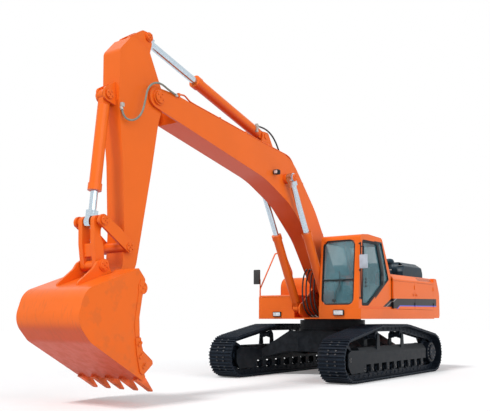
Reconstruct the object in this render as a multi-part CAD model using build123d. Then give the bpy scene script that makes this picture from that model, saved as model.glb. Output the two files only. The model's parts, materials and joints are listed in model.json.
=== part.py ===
from build123d import *
import os
from math import asin, atan2, cos, hypot, pi, sin, sqrt

# A 42 t crawler excavator. Millimetres, +X forward along the boom, +Y to the left, where the cab
# stands, +Z up. Sizes are taken from the swing axis on the ground; the finished parts are shifted
# along X at the end so that the origin lies under the middle of the whole machine.

# ---- clearances
FIT = 0.3          # seat of a piece that is bolted or lies against its neighbour
PIN_FIT = 0.6      # radial play of a pin in its bore
RUN = 6.0          # side play between a moving eye and its ear
DOOR_GAP = 5.0     # round a door or lid
HINGE_LEAF = 32.0  # length of one barrel of a hinge
HINGE_OUT = 4.0    # a hinge's axis stands this far out of its panel

# ---- undercarriage
TRACK_GAUGE = 2750.0       # between the track centre lines
SHOE_WIDTH = 600.0
SHOE_COUNT = 52
SHOE_PLATE = 18.0
GROUSER_HEIGHT = 34.0
LINK_HEIGHT = 105.0        # track link, under the shoe
RAIL_INNER = 62.0          # inner face of a link rail, from the track centre line
RAIL_OUTER = 108.0
WRAP_RADIUS = 430.0        # shoe line round the idler and the sprocket
IDLER_X = 2125.0
SPROCKET_X = -2150.0
CARRIER_XS = (760.0, -500.0)
CARRIER_LINE_Z = 1130.0    # shoe line over the carrier rollers
CARRIER_TREAD = 75.0
ROLLER_TREAD = 82.0
ROLLER_COUNT = 9
FRAME_LOW = 345.0
FRAME_HIGH = 690.0
FRAME_HALF = 200.0         # half width of the track frame at its foot
CARBODY_LOW = 540.0
CARBODY_HIGH = 1060.0
RING_RADIUS = 760.0        # slewing ring outside
RING_HIGH = 1280.0

# ---- upper structure
HOUSE_HALF = 1495.0
DECK_LOW = 1280.0
DECK_PLATE = 30.0
SKIRT_HIGH = 1500.0        # top of the outer beams
HOUSE_HIGH = 2300.0
HOUSE_FRONT = -150.0       # front of the machine room
TAIL_X = -3220.0           # rearmost face of the counterweight
WEIGHT_FRONT = -2600.0    # front face of the counterweight
EAR_INNER = 247.0          # centre plates that carry the boom and its cylinders
EAR_PLATE = 30.0
SHEET = 6.0                # house panel sheet

# ---- cab
CAB_RIGHT = 500.0
CAB_LEFT = 1450.0
CAB_WALL = 50.0
CAB_FLOOR = 1500.0
CAB_TOP = 3100.0
GLASS = 6.0

# ---- boom, arm, bucket and their pins (x, z)
BOOM_FOOT = (270.0, 2050.0)
BOOM_TIP = (6300.0, 4970.0)
BOOM_HALF = 240.0
BOOM_SIDE_PLATE = 14.0
BOOM_FLANGE = 18.0
BOOM_CYL_Y = 388.0
BOOM_CYL_FOOT = (930.0, 1530.0)
BOOM_CYL_HEAD = (2400.0, 4220.0)
ARM_CYL_FOOT = (2930.0, 5040.0)
ARM_CYL_HEAD = (6420.0, 6000.0)
ARM_HALF = 190.0
ARM_PLATE = 14.0
BUCKET_CYL_FOOT = (7270.0, 4800.0)
LINK_PIN = (7500.0, 2760.0)
GUIDE_PIN = (6950.0, 2400.0)
BUCKET_PIN = (7070.0, 1750.0)
EAR_PIN = (7450.0, 2090.0)
BUCKET_HALF = 690.0
BUCKET_SHELL = 28.0
TOOTH_COUNT = 5
PIN_RADIUS = 55.0

# (barrel radius, rod radius, barrel length, eye radius, eye half width)
BOOM_CYL = (95.0, 60.0, 1820.0, 102.0, 62.0)
ARM_CYL = (108.0, 66.0, 2240.0, 112.0, 58.0)
BUCKET_CYL = (95.0, 58.0, 1560.0, 100.0, 55.0)


# ---- shapes
def outline(points):
    """Edges round a closed outline of (a, b) corners; a third number is a corner's radius."""
    starts, ends, mids = [], [], []
    for i, corner in enumerate(points):
        here = Vector(corner[0], corner[1])
        radius = corner[2] if len(corner) > 2 else 0
        back = (Vector(*points[i - 1][:2]) - here).normalized()
        on = (Vector(*points[(i + 1) % len(points)][:2]) - here).normalized()
        if not radius:
            starts.append(here)
            ends.append(here)
            mids.append(None)
            continue
        half = back.get_angle(on) * pi / 360
        reach = radius / sin(half) * cos(half)
        middle = (back + on).normalized()
        starts.append(here + back * reach)
        ends.append(here + on * reach)
        mids.append(here + middle * (radius / sin(half) - radius))
    edges = []
    for i, start in enumerate(starts):
        if mids[i] is not None:
            edges.append(Edge.make_three_point_arc(start, mids[i], ends[i]))
        nxt = starts[(i + 1) % len(starts)]
        if (nxt - ends[i]).length > 1e-6:
            edges.append(Edge.make_line(ends[i], nxt))
    return edges


def face(points):
    return Face(Wire(outline(points)))


def slab(points, y0, y1):
    """A side outline of (x, z) corners, solid from y0 to y1."""
    flat = Plane((0, y0, 0), x_dir=(1, 0, 0), z_dir=(0, -1, 0)) * face(points)
    return extrude(flat, amount=y1 - y0, dir=(0, 1, 0))


def deck(points, z0, z1):
    """A plan outline of (x, y) corners, solid from z0 to z1."""
    return extrude(Pos(0, 0, z0) * face(points), amount=z1 - z0, dir=(0, 0, 1))


def beam(points, x0, x1):
    """A section of (y, z) corners, solid from x0 to x1."""
    flat = Plane((x0, 0, 0), x_dir=(0, 1, 0), z_dir=(1, 0, 0)) * face(points)
    return extrude(flat, amount=x1 - x0, dir=(1, 0, 0))


def block(x0, x1, y0, y1, z0, z1):
    return Pos((x0 + x1) / 2, (y0 + y1) / 2, (z0 + z1) / 2) * Box(x1 - x0, y1 - y0, z1 - z0)


def rod(start, end, radius):
    start, end = Vector(*start), Vector(*end)
    return Solid.make_cylinder(radius, (end - start).length, Plane(start, z_dir=end - start))


def cross(pin, y0, y1, radius):
    """A round bar across the machine at a pin's (x, z)."""
    return rod((pin[0], y0, pin[1]), (pin[0], y1, pin[1]), radius)


def turned(centre, profile):
    """A solid turned about a cross axis through centre (x, z), from (y, r) corners."""
    spun = revolve(Plane.XY * face([(r, y) for y, r in profile]), axis=Axis.Y)
    return Pos(centre[0], 0, centre[1]) * spun


def inset(points, depth):
    """A closed outline moved inwards by depth; the corners' radii follow."""
    area = sum(a[0] * b[1] - b[0] * a[1] for a, b in zip(points, [*points[1:], points[0]]))
    turn = 1 if area > 0 else -1
    moved = []
    for i, here in enumerate(points):
        before, after = points[i - 1], points[(i + 1) % len(points)]
        a = hypot(here[0] - before[0], here[1] - before[1])
        b = hypot(after[0] - here[0], after[1] - here[1])
        n0 = (turn * (before[1] - here[1]) / a, turn * (here[0] - before[0]) / a)
        n1 = (turn * (here[1] - after[1]) / b, turn * (after[0] - here[0]) / b)
        k = depth / (1 + n0[0] * n1[0] + n0[1] * n1[1])
        corner = (here[0] + k * (n0[0] + n1[0]), here[1] + k * (n0[1] + n1[1]))
        if len(here) > 2:
            bulge = turn * (n0[0] * n1[1] - n0[1] * n1[0])
            corner += (max(here[2] - depth, 1) if bulge > 0 else here[2] + depth,)
        moved.append(corner)
    return moved


def hinge(centre, axis, spots, radius):
    """Barrels along an axis: the outer two of each stay put and the middle one turns.

    Gives what stays, what turns, and the room that each needs cut from the other's panel."""
    axis, half = Vector(*axis), HINGE_LEAF / 2
    still, turns, still_room, turns_room = [], [], [], []
    for spot in spots:
        middle = Vector(*centre) + axis * spot
        for low, high in ((-3 * half, -half - FIT), (half + FIT, 3 * half)):
            still.append(rod(middle + axis * low, middle + axis * high, radius))
            still_room.append(rod(middle + axis * (low - 1), middle + axis * (high + FIT), radius + 1.5))
        turns.append(rod(middle - axis * half, middle + axis * half, radius))
        room = half + FIT
        turns_room.append(rod(middle - axis * room, middle + axis * room, radius + 1.5))
    return still, turns, still_room, turns_room


def hang(panel, leaf, centre, axis, spots, radius=12.0):
    """The fixed panel and the door, each with its share of the hinges between them."""
    still, turns, still_room, turns_room = hinge(centre, axis, spots, radius)
    for room in turns_room:
        panel -= room
    for barrel in still:
        panel += barrel
    for room in still_room:
        leaf -= room
    for barrel in turns:
        leaf += barrel
    return panel, leaf


parts = {}


def save(name, *shapes):
    parts[name] = shapes[0] if len(shapes) == 1 else Compound(children=[s for x in shapes for s in x.solids()])


# ---- undercarriage
WRAP_Z = WRAP_RADIUS + GROUSER_HEIGHT      # axle height of the idler and the sprocket
CHAIN_DEPTH = SHOE_PLATE + LINK_HEIGHT
CARRIER_BEND = 700.0                       # how gently the chain turns over a carrier roller


def belt(circles, count):
    """count points, evenly spaced along a belt round circles (x, z, radius), anticlockwise."""
    spans = []
    for i, (x0, z0, r0) in enumerate(circles):
        x1, z1, r1 = circles[(i + 1) % len(circles)]
        heading = atan2(z1 - z0, x1 - x0)
        spans.append(heading - pi / 2 + asin((r0 - r1) / hypot(x1 - x0, z1 - z0)))
    pieces = []
    for i, (x0, z0, r0) in enumerate(circles):
        x1, z1, r1 = circles[(i + 1) % len(circles)]
        arrive, leave = spans[i - 1], spans[i]
        pieces.append(("arc", r0 * ((leave - arrive) % (2 * pi)), x0, z0, r0, arrive))
        a = (x0 + r0 * cos(leave), z0 + r0 * sin(leave))
        b = (x1 + r1 * cos(leave), z1 + r1 * sin(leave))
        pieces.append(("run", hypot(b[0] - a[0], b[1] - a[1]), *a, *b))
    pitch = sum(p[1] for p in pieces) / count
    points, done = [], 0.0
    for kind, length, *form in pieces:
        while len(points) * pitch < done + length - 1e-6 and len(points) < count:
            s = len(points) * pitch - done
            if kind == "arc":
                x, z, r, start = form
                points.append((x + r * cos(start + s / r), z + r * sin(start + s / r)))
            else:
                ax, az, bx, bz = form
                points.append((ax + (bx - ax) * s / length, az + (bz - az) * s / length))
        done += length
    return points


SHOE_LINE = belt(
    [
        (SPROCKET_X, WRAP_Z, WRAP_RADIUS),
        (IDLER_X, WRAP_Z, WRAP_RADIUS),
        (CARRIER_XS[0], CARRIER_LINE_Z - CARRIER_BEND, CARRIER_BEND),
        (CARRIER_XS[1], CARRIER_LINE_Z - CARRIER_BEND, CARRIER_BEND),
    ],
    SHOE_COUNT,
)
PITCH = hypot(SHOE_LINE[1][0] - SHOE_LINE[0][0], SHOE_LINE[1][1] - SHOE_LINE[0][1])
WRAP_FLAT = sqrt(WRAP_RADIUS**2 - PITCH**2 / 4)     # a shoe's distance from the axle it wraps
IDLER_TREAD = WRAP_FLAT - CHAIN_DEPTH - 2.0
CARRIER_SAG = CARRIER_BEND - sqrt(CARRIER_BEND**2 - PITCH**2 / 4)
CARRIER_Z = CARRIER_LINE_Z - CARRIER_SAG - CHAIN_DEPTH - CARRIER_TREAD - FIT


def shoe_outline():
    """The ring of shoes in outline: each has three grousers across its plate."""
    foot, tip = 15.0, 7.0        # half widths of a grouser
    ring = []
    for i, (x0, z0) in enumerate(SHOE_LINE):
        x1, z1 = SHOE_LINE[(i + 1) % SHOE_COUNT]
        length = hypot(x1 - x0, z1 - z0)
        tx, tz = (x1 - x0) / length, (z1 - z0) / length
        for share in (0.14, 0.5, 0.86):
            for along, out in ((-foot, 0), (-tip, GROUSER_HEIGHT), (tip, GROUSER_HEIGHT), (foot, 0)):
                s = share * length + along
                ring.append((x0 + tx * s + tz * out, z0 + tz * s - tx * out))
    return ring


def track(side):
    """Shoes, and the two rails of links under them."""
    middle = side * TRACK_GAUGE / 2
    half = SHOE_WIDTH / 2
    under = inset(SHOE_LINE, SHOE_PLATE)
    shoes = slab(shoe_outline(), middle - half, middle + half)
    shoes -= slab(under, middle - half - 1, middle + half + 1)
    outer, inner = inset(SHOE_LINE, SHOE_PLATE - 4), inset(SHOE_LINE, CHAIN_DEPTH)
    for low, high in ((RAIL_INNER, RAIL_OUTER), (-RAIL_OUTER, -RAIL_INNER)):
        shoes += slab(outer, middle + low, middle + high) - slab(inner, middle + low, middle + high)
    return shoes


def roller(x, z, tread, side, reach):
    """A double-flanged roller on its shaft, which ends at reach each way."""
    y = side * TRACK_GAUGE / 2
    flange, shaft = tread + 16, 0.45 * tread
    half = RAIL_OUTER + 20
    section = [
        (y - reach, 0), (y - reach, shaft), (y - half, shaft), (y - half, flange),
        (y - RAIL_OUTER - 3, flange), (y - RAIL_OUTER - 3, tread), (y - RAIL_INNER + 8, tread),
        (y - RAIL_INNER + 8, 0.8 * tread), (y + RAIL_INNER - 8, 0.8 * tread),
        (y + RAIL_INNER - 8, tread), (y + RAIL_OUTER + 3, tread), (y + RAIL_OUTER + 3, flange),
        (y + half, flange), (y + half, shaft), (y + reach, shaft), (y + reach, 0),
    ]
    return turned((x, z), section)


ROLLER_Z = GROUSER_HEIGHT + CHAIN_DEPTH + ROLLER_TREAD + FIT
ROLLER_FRONT, ROLLER_REAR = 1500.0, -1560.0
ROLLER_XS = [
    ROLLER_REAR + (ROLLER_FRONT - ROLLER_REAR) * i / (ROLLER_COUNT - 1) for i in range(ROLLER_COUNT)
]
BRACKET_INNER = RAIL_OUTER + 26
GIRDER_REAR, GIRDER_FRONT = -1780.0, 1640.0
IDLER_SHAFT = 48.0
HUB_RADIUS = 242.0


def track_frame(side):
    """Sloped-top girder with roller brackets, idler yoke and the plate the travel motor bolts to."""
    y = side * TRACK_GAUGE / 2
    section = [
        (y - FRAME_HALF, FRAME_LOW), (y + FRAME_HALF, FRAME_LOW),
        (y + FRAME_HALF, FRAME_HIGH - 120), (y + 120, FRAME_HIGH),
        (y - 120, FRAME_HIGH), (y - FRAME_HALF, FRAME_HIGH - 120),
    ]
    wall = 16.0
    hollow = [
        (y - FRAME_HALF + wall, FRAME_LOW + wall), (y + FRAME_HALF - wall, FRAME_LOW + wall),
        (y + FRAME_HALF - wall, FRAME_HIGH - 130), (y + 112, FRAME_HIGH - wall),
        (y - 112, FRAME_HIGH - wall), (y - FRAME_HALF + wall, FRAME_HIGH - 130),
    ]
    frame = beam(section, GIRDER_REAR, GIRDER_FRONT)
    frame -= beam(hollow, GIRDER_REAR + wall, GIRDER_FRONT - wall)
    yoke = [
        (GIRDER_FRONT - 220, FRAME_LOW - 150, 20), (IDLER_X - 40, FRAME_LOW - 165, 60),
        (IDLER_X + 75, WRAP_Z - 130, 60), (IDLER_X + 75, WRAP_Z + 120, 60),
        (IDLER_X - 60, FRAME_HIGH - 40, 40), (GIRDER_FRONT - 220, FRAME_HIGH - 60),
    ]
    for s in (-1, 1):
        inner, outer = y + s * (BRACKET_INNER + 30), y + s * FRAME_HALF
        frame += slab(yoke, min(inner, outer), max(inner, outer))
        for x in ROLLER_XS:
            near, far = y + s * BRACKET_INNER, y + s * (FRAME_HALF - 10)
            frame += block(x - 70, x + 70, min(near, far), max(near, far), ROLLER_Z - 55, FRAME_LOW + 5)
    for s in (-1, 1):
        for x in CARRIER_XS:
            near, far = y + s * (BRACKET_INNER + 2), y + s * (BRACKET_INNER + 32)
            post = [(x - 90, FRAME_HIGH - 125), (x + 90, FRAME_HIGH - 125), (x + 45, CARRIER_Z + 30, 30),
                    (x - 45, CARRIER_Z + 30, 30)]
            frame += slab(post, min(near, far), max(near, far))
            frame -= cross((x, CARRIER_Z), y - 300, y + 300, 0.45 * CARRIER_TREAD + FIT)
    for x in ROLLER_XS:
        frame -= cross((x, ROLLER_Z), y - 300, y + 300, 0.45 * ROLLER_TREAD + FIT)
    frame -= cross((IDLER_X, WRAP_Z), y - 300, y + 300, IDLER_SHAFT + FIT)
    motor_plate = [
        (GIRDER_REAR + 30, FRAME_LOW), (GIRDER_REAR + 30, FRAME_HIGH - 40),
        (SPROCKET_X, WRAP_Z + 235, 150), (SPROCKET_X - 235, WRAP_Z, 200), (SPROCKET_X, WRAP_Z - 235, 150),
    ]
    inside = y - side * (FRAME_HALF - 40)
    near, far = sorted((inside, inside - side * 40))
    return frame + slab(motor_plate, near, far)


def idler(side):
    y = side * TRACK_GAUGE / 2
    flange = IDLER_TREAD + 24
    section = [
        (y - FRAME_HALF, 0), (y - FRAME_HALF, IDLER_SHAFT), (y - 118, IDLER_SHAFT), (y - 118, 95),
        (y - 30, 110), (y - 30, 215), (y - RAIL_OUTER, 235), (y - RAIL_OUTER, IDLER_TREAD),
        (y - RAIL_INNER + 6, IDLER_TREAD), (y - RAIL_INNER + 6, flange),
        (y + RAIL_INNER - 6, flange), (y + RAIL_INNER - 6, IDLER_TREAD),
        (y + RAIL_OUTER, IDLER_TREAD), (y + RAIL_OUTER, 235), (y + 30, 215), (y + 30, 110),
        (y + 118, 95), (y + 118, IDLER_SHAFT), (y + FRAME_HALF, IDLER_SHAFT), (y + FRAME_HALF, 0),
    ]
    return turned((IDLER_X, WRAP_Z), section)


TOOTH_ROOT = WRAP_FLAT - CHAIN_DEPTH - 8
TOOTH_TIP = TOOTH_ROOT + 52
SPROCKET_TEETH = 21


def sprocket(side):
    """Toothed ring on the final drive's drum."""
    y = side * TRACK_GAUGE / 2
    ring = []
    for i in range(SPROCKET_TEETH):
        a = 2 * pi * i / SPROCKET_TEETH
        for turn, radius in ((-0.5, TOOTH_ROOT), (-0.3, TOOTH_ROOT), (-0.13, TOOTH_TIP), (0.13, TOOTH_TIP),
                             (0.3, TOOTH_ROOT)):
            b = a + turn * 2 * pi / SPROCKET_TEETH
            ring.append((SPROCKET_X + radius * cos(b), WRAP_Z + radius * sin(b)))
    wheel = slab(ring, y - 28, y + 28)
    out = y + side * 235
    inward = y - side * (FRAME_HALF - 40 - FIT)
    wheel += cross((SPROCKET_X, WRAP_Z), *sorted((y - side * 20, out - side * 40)), HUB_RADIUS)
    wheel += cross((SPROCKET_X, WRAP_Z), *sorted((out - side * 41, out)), HUB_RADIUS - 62)
    return wheel + cross((SPROCKET_X, WRAP_Z), *sorted((inward, y)), HUB_RADIUS - 35)


def travel_motor(side):
    """Motor housing on the inner side of the frame's rear plate."""
    y = side * (TRACK_GAUGE / 2 - FRAME_HALF - FIT)
    case = cross((SPROCKET_X, WRAP_Z), *sorted((y, y - side * 130)), 170)
    return case + cross((SPROCKET_X, WRAP_Z), *sorted((y - side * 129, y - side * 260)), 110)


for side, hand in ((1, "left"), (-1, "right")):
    y = side * TRACK_GAUGE / 2
    save(f"track_{hand}", track(side))
    save(f"track_frame_{hand}", track_frame(side))
    save(f"idler_{hand}", idler(side))
    save(f"sprocket_{hand}", sprocket(side))
    save(f"travel_motor_{hand}", travel_motor(side))
    reach = FRAME_HALF - 12
    rollers = [roller(x, ROLLER_Z, ROLLER_TREAD, side, reach) for x in ROLLER_XS]
    rollers += [roller(x, CARRIER_Z, CARRIER_TREAD, side, BRACKET_INNER + 30) for x in CARRIER_XS]
    save(f"track_rollers_{hand}", *rollers)

LEG_ROOT = 620.0           # half width of the carbody's middle
FRAME_FACE = TRACK_GAUGE / 2 - FRAME_HALF
LEG_XS = (640.0, 1240.0)   # where a leg meets the track frame


def carbody():
    """Round-topped box between the track frames, on four legs, carrying the slewing ring."""
    middle = deck(
        [(-820, -LEG_ROOT, 120), (820, -LEG_ROOT, 120), (820, LEG_ROOT, 120), (-820, LEG_ROOT, 120)],
        CARBODY_LOW, CARBODY_HIGH - 60,
    )
    body = middle + rod((0, 0, CARBODY_HIGH - 61), (0, 0, CARBODY_HIGH), RING_RADIUS + 20)
    for sx in (-1, 1):
        for sy in (-1, 1):
            plan = [(sx * 330, sy * 420), (sx * 800, sy * 420), (sx * LEG_XS[1], sy * (FRAME_FACE - FIT)),
                    (sx * LEG_XS[0], sy * (FRAME_FACE - FIT))]
            leg = deck(plan if sx * sy > 0 else plan[::-1], CARBODY_LOW - 150, CARBODY_HIGH - 60)
            slope = [(sy * 380, CARBODY_LOW - 200), (sy * 1300, CARBODY_LOW - 200),
                     (sy * 1300, CARBODY_LOW - 160), (sy * FRAME_FACE, CARBODY_LOW - 140),
                     (sy * 700, CARBODY_LOW), (sy * 380, CARBODY_LOW)]
            lid = [(sy * 500, CARBODY_HIGH), (sy * 640, CARBODY_HIGH - 60), (sy * FRAME_FACE, FRAME_HIGH - 100),
                   (sy * 1300, FRAME_HIGH - 100), (sy * 1300, CARBODY_HIGH)]
            if sy > 0:
                lid = lid[::-1]
            else:
                slope = slope[::-1]
            leg -= beam(slope, -1400, 1400)
            leg -= beam(lid, -1400, 1400)
            body += leg
    hollow = block(-780, 780, -LEG_ROOT + 40, LEG_ROOT - 40, CARBODY_LOW + 25, CARBODY_HIGH - 90)
    body -= hollow - rod((0, 0, CARBODY_LOW), (0, 0, CARBODY_HIGH), 520)
    return body - rod((0, 0, CARBODY_LOW - 10), (0, 0, CARBODY_HIGH + 10), 230)


def ring_section(inner, outer, low, high):
    ring = rod((0, 0, low), (0, 0, high), outer)
    return ring - rod((0, 0, low - 1), (0, 0, high + 1), inner)


RACE_GAP = 0.8
RACE_RADIUS = RING_RADIUS - 90
save("carbody", carbody())
save("slewing_ring_outer", ring_section(RACE_RADIUS, RING_RADIUS, CARBODY_HIGH, RING_HIGH - 22))
save("slewing_ring_inner", ring_section(RACE_RADIUS - 110, RACE_RADIUS - RACE_GAP, CARBODY_HIGH + 12, RING_HIGH))


# ---- upper structure
BEAM = 60.0                # width of the outer frame beams
CAB_FRONT = 1480.0
BOX_FRONT = 900.0          # front of the tool box, on the right
TANK_FRONT = 40.0
TANK_REAR = -860.0
HYDRAULIC_REAR = -1560.0
INNER_DECK = 495.0         # where the side decks begin
PLATE_HIGH = 1720.0        # centre plates behind the boom foot
EAR_OUTER = EAR_INNER + EAR_PLATE


def upper_frame():
    """Revolving frame: decks, outer beams and the two centre plates with their pins."""
    frame = block(WEIGHT_FRONT + FIT, 1080, -INNER_DECK - 1, INNER_DECK + 1, DECK_LOW, DECK_LOW + DECK_PLATE)
    for side, front in ((1, CAB_FRONT), (-1, BOX_FRONT)):
        inner, outer = side * INNER_DECK, side * HOUSE_HALF
        rear = WEIGHT_FRONT + FIT
        near, far = sorted((inner, outer))
        frame += block(rear, front, near, far, DECK_LOW, DECK_LOW + DECK_PLATE)
        near, far = sorted((outer - side * BEAM, outer))
        frame += block(rear, front, near, far, DECK_LOW, SKIRT_HIGH)
        near, far = sorted((inner, outer))
        frame += block(front - BEAM, front, near, far, DECK_LOW, SKIRT_HIGH)
        near, far = sorted((inner, inner + side * 20))
        back = HOUSE_FRONT if side > 0 else TANK_FRONT + 5
        frame += block(back, front, near, far, DECK_LOW, SKIRT_HIGH)
    plate = [
        (WEIGHT_FRONT + FIT, DECK_LOW + 5), (900, DECK_LOW + 5), (1065, 1400, 60), (1065, 1600, 110),
        (900, 1665, 60), (470, 1990, 120), (430, 2225, 150), (120, 2225, 150), (-160, 1950, 200),
        (-700, PLATE_HIGH, 200), (WEIGHT_FRONT + FIT, PLATE_HIGH),
    ]
    for side in (-1, 1):
        near, far = sorted((side * EAR_INNER, side * EAR_OUTER))
        frame += slab(plate, near, far)
        frame += cross(BOOM_FOOT, near - 8 * (side < 0), far + 8 * (side > 0), 150)
        boss = sorted((side * (EAR_OUTER - 1), side * (BOOM_CYL_Y - BOOM_CYL[4] - RUN)))
        frame += cross(BOOM_CYL_FOOT, *boss, 88)
        shaft = sorted((side * (EAR_OUTER - 1), side * (BOOM_CYL_Y + BOOM_CYL[4] + RUN)))
        frame += cross(BOOM_CYL_FOOT, *shaft, PIN_RADIUS)
        cap = sorted((side * (BOOM_CYL_Y + BOOM_CYL[4] + RUN - 1), side * (BOOM_CYL_Y + BOOM_CYL[4] + RUN + 14)))
        frame += cross(BOOM_CYL_FOOT, *cap, 80)
    frame += cross(BOOM_FOOT, -EAR_OUTER - 30, EAR_OUTER + 30, PIN_RADIUS + 10)
    for x in (-180, -1500):
        frame += block(x - 15, x + 15, -EAR_INNER - 2, EAR_INNER + 2, DECK_LOW + 5, 1640)
    return frame - rod((0, 0, DECK_LOW - 1), (0, 0, DECK_LOW + DECK_PLATE + 1), RACE_RADIUS - 170)


LIFT_X, LIFT_Y = -2750.0, 1250.0
LIFT_BORE = 21.0
LIFT_DEEP = 160.0


def counterweight():
    """Cast block, turned about the swing axis behind and squared off at the sides."""
    tail = [
        (400, DECK_LOW + 20), (3290, DECK_LOW + 20), (3450, 1500), (3430, 1700), (3165, HOUSE_HIGH - 10),
        (3100, HOUSE_HIGH), (400, HOUSE_HIGH),
    ]
    spun = revolve(Plane.XZ * face(tail), axis=Axis.Z)
    sides = [(-3600, -1150), (-3000, -HOUSE_HALF, 260), (WEIGHT_FRONT, -HOUSE_HALF),
             (WEIGHT_FRONT, HOUSE_HALF), (-3000, HOUSE_HALF, 260), (-3600, 1150)]
    weight = spun & deck(sides, DECK_LOW, HOUSE_HIGH + 50)
    pocket = block(WEIGHT_FRONT - 300, WEIGHT_FRONT + 1, -900, 900, DECK_LOW + 260, HOUSE_HIGH - 120)
    weight -= pocket
    for y in (-LIFT_Y, LIFT_Y):
        weight -= rod((LIFT_X, y, HOUSE_HIGH - LIFT_DEEP), (LIFT_X, y, HOUSE_HIGH + 10), LIFT_BORE)
    return weight


HOOD = (-2900.0, -1640.0, 1080.0, 2700.0)      # rear, front, half width, top
ROOF_SLOPE_Y = 1400.0
ROOF_SLOPE_Z = 2190.0
POST = 30.0
MID_POST = (-1400.0, -1370.0)
DOORS_REAR = WEIGHT_FRONT + 45


def room_frame():
    """Roof sheet with sloped edges, posts and the wall behind the cab."""
    outer = [
        (-HOUSE_HALF, ROOF_SLOPE_Z), (-HOUSE_HALF, ROOF_SLOPE_Z - 40), (-HOUSE_HALF + 30, ROOF_SLOPE_Z - 40),
        (-HOUSE_HALF + 30, ROOF_SLOPE_Z - 8), (-ROOF_SLOPE_Y + 12, HOUSE_HIGH - 20),
        (ROOF_SLOPE_Y - 12, HOUSE_HIGH - 20), (HOUSE_HALF - 30, ROOF_SLOPE_Z - 8),
        (HOUSE_HALF - 30, ROOF_SLOPE_Z - 40), (HOUSE_HALF, ROOF_SLOPE_Z - 40), (HOUSE_HALF, ROOF_SLOPE_Z),
        (ROOF_SLOPE_Y, HOUSE_HIGH), (-ROOF_SLOPE_Y, HOUSE_HIGH),
    ]
    front = HOUSE_FRONT
    roof = beam(outer, WEIGHT_FRONT + FIT, front)
    roof -= block(TANK_REAR - 700.3, front + 1, -HOUSE_HALF - 1, -EAR_OUTER - 12, 2000, 2400)
    roof -= block(HOOD[0] + 20, HOOD[1] - 60, -HOOD[2] + 60, HOOD[2] - 60, 2200, 2400)
    low, edge = DECK_LOW + DECK_PLATE + FIT, HOUSE_HALF - BEAM - 3
    for x0, x1, side in ((*MID_POST, 1), (WEIGHT_FRONT + 1, DOORS_REAR - DOOR_GAP, 1),
                         (WEIGHT_FRONT + 1, DOORS_REAR - DOOR_GAP, -1)):
        near, far = sorted((side * (edge - 1), side * HOUSE_HALF))
        roof += block(x0, x1, near, far, SKIRT_HIGH + FIT, ROOF_SLOPE_Z - 39)
    posts = [
        (front - POST, front, EAR_OUTER + 12, edge), (*MID_POST, 1360, edge),
        (WEIGHT_FRONT + 1, DOORS_REAR - DOOR_GAP, 1360, edge),
        (WEIGHT_FRONT + 1, DOORS_REAR - DOOR_GAP, -edge, -1360),
        (HYDRAULIC_REAR - 60, HYDRAULIC_REAR - 30, -edge, -EAR_OUTER - 12),
    ]
    for x0, x1, y0, y1 in posts:
        roof += block(x0, x1, y0, y1, low, HOUSE_HIGH - 100)
        inside = min(max(abs(y0), abs(y1)), ROOF_SLOPE_Y - 14)
        roof += block(x0, x1, max(y0, -inside), min(y1, inside), HOUSE_HIGH - 101, HOUSE_HIGH - 19)
    return roof


DOOR_LOW = SKIRT_HIGH + 5
DOOR_HIGH = ROOF_SLOPE_Z - 45
DOOR_DEPTH = 40.0
LEFT_DOORS = ((MID_POST[1] + DOOR_GAP, HOUSE_FRONT - DOOR_GAP), (DOORS_REAR, MID_POST[0] - DOOR_GAP))
RIGHT_DOOR = (DOORS_REAR, HYDRAULIC_REAR - DOOR_GAP)
DOOR_HINGES = (1620.0, 2030.0)


def side_door(x0, x1, side):
    """A pressed door: outer skin with a turned edge and a stiffening frame inside."""
    outer, inner = side * HOUSE_HALF, side * (HOUSE_HALF - DOOR_DEPTH)
    near, far = sorted((inner, outer))
    door = block(x0, x1, near, far, DOOR_LOW, DOOR_HIGH)
    near, far = sorted((inner - side, outer - side * SHEET))
    for a, b in ((x0 + 35, (x0 + x1) / 2 - 20), ((x0 + x1) / 2 + 20, x1 - 35)):
        door -= block(a, b, near, far, DOOR_LOW + 35, DOOR_HIGH - 35)
    return door


def engine_hood():
    rear, front, half, top = HOOD
    section = [(-half, HOUSE_HIGH + 5), (half, HOUSE_HIGH + 5), (half, top - 110, 30), (half - 150, top, 60),
               (-half + 150, top, 60), (-half, top - 110, 30)]
    wall = 8.0
    hollow = [(-half + wall, HOUSE_HIGH), (half - wall, HOUSE_HIGH), (half - wall, top - 114, 24),
              (half - 154, top - wall, 54), (-half + 154, top - wall, 54), (-half + wall, top - 114, 24)]
    hood = beam(section, rear, front) - beam(hollow, rear + wall, front - wall)
    slope = [(front + 1, HOUSE_HIGH + 150), (front + 1, top + 10), (front - 150, top + 10)]
    back = [(rear - 1, HOUSE_HIGH + 150), (rear + 130, top + 10), (rear - 1, top + 10)]
    return hood - slab(slope, -half - 1, half + 1) - slab(back[::-1], -half - 1, half + 1)


def fuel_tank():
    side = [(TANK_REAR, DECK_LOW + DECK_PLATE + FIT), (TANK_FRONT, DECK_LOW + DECK_PLATE + FIT),
            (TANK_FRONT, HOUSE_HIGH, 260), (TANK_REAR, HOUSE_HIGH, 20)]
    wall = 8.0
    inner = [(TANK_REAR + wall, DECK_LOW + DECK_PLATE + wall), (TANK_FRONT - wall, DECK_LOW + DECK_PLATE + wall),
             (TANK_FRONT - wall, HOUSE_HIGH - wall, 252), (TANK_REAR + wall, HOUSE_HIGH - wall, 12)]
    right = -HOUSE_HALF + BEAM + 3
    left = -EAR_OUTER - 60
    tank = slab(side, right, left) - slab(inner, right + wall, left - wall)
    return tank + rod((-600, -1000, HOUSE_HIGH - 5), (-600, -1000, HOUSE_HIGH + 60), 75)


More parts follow.
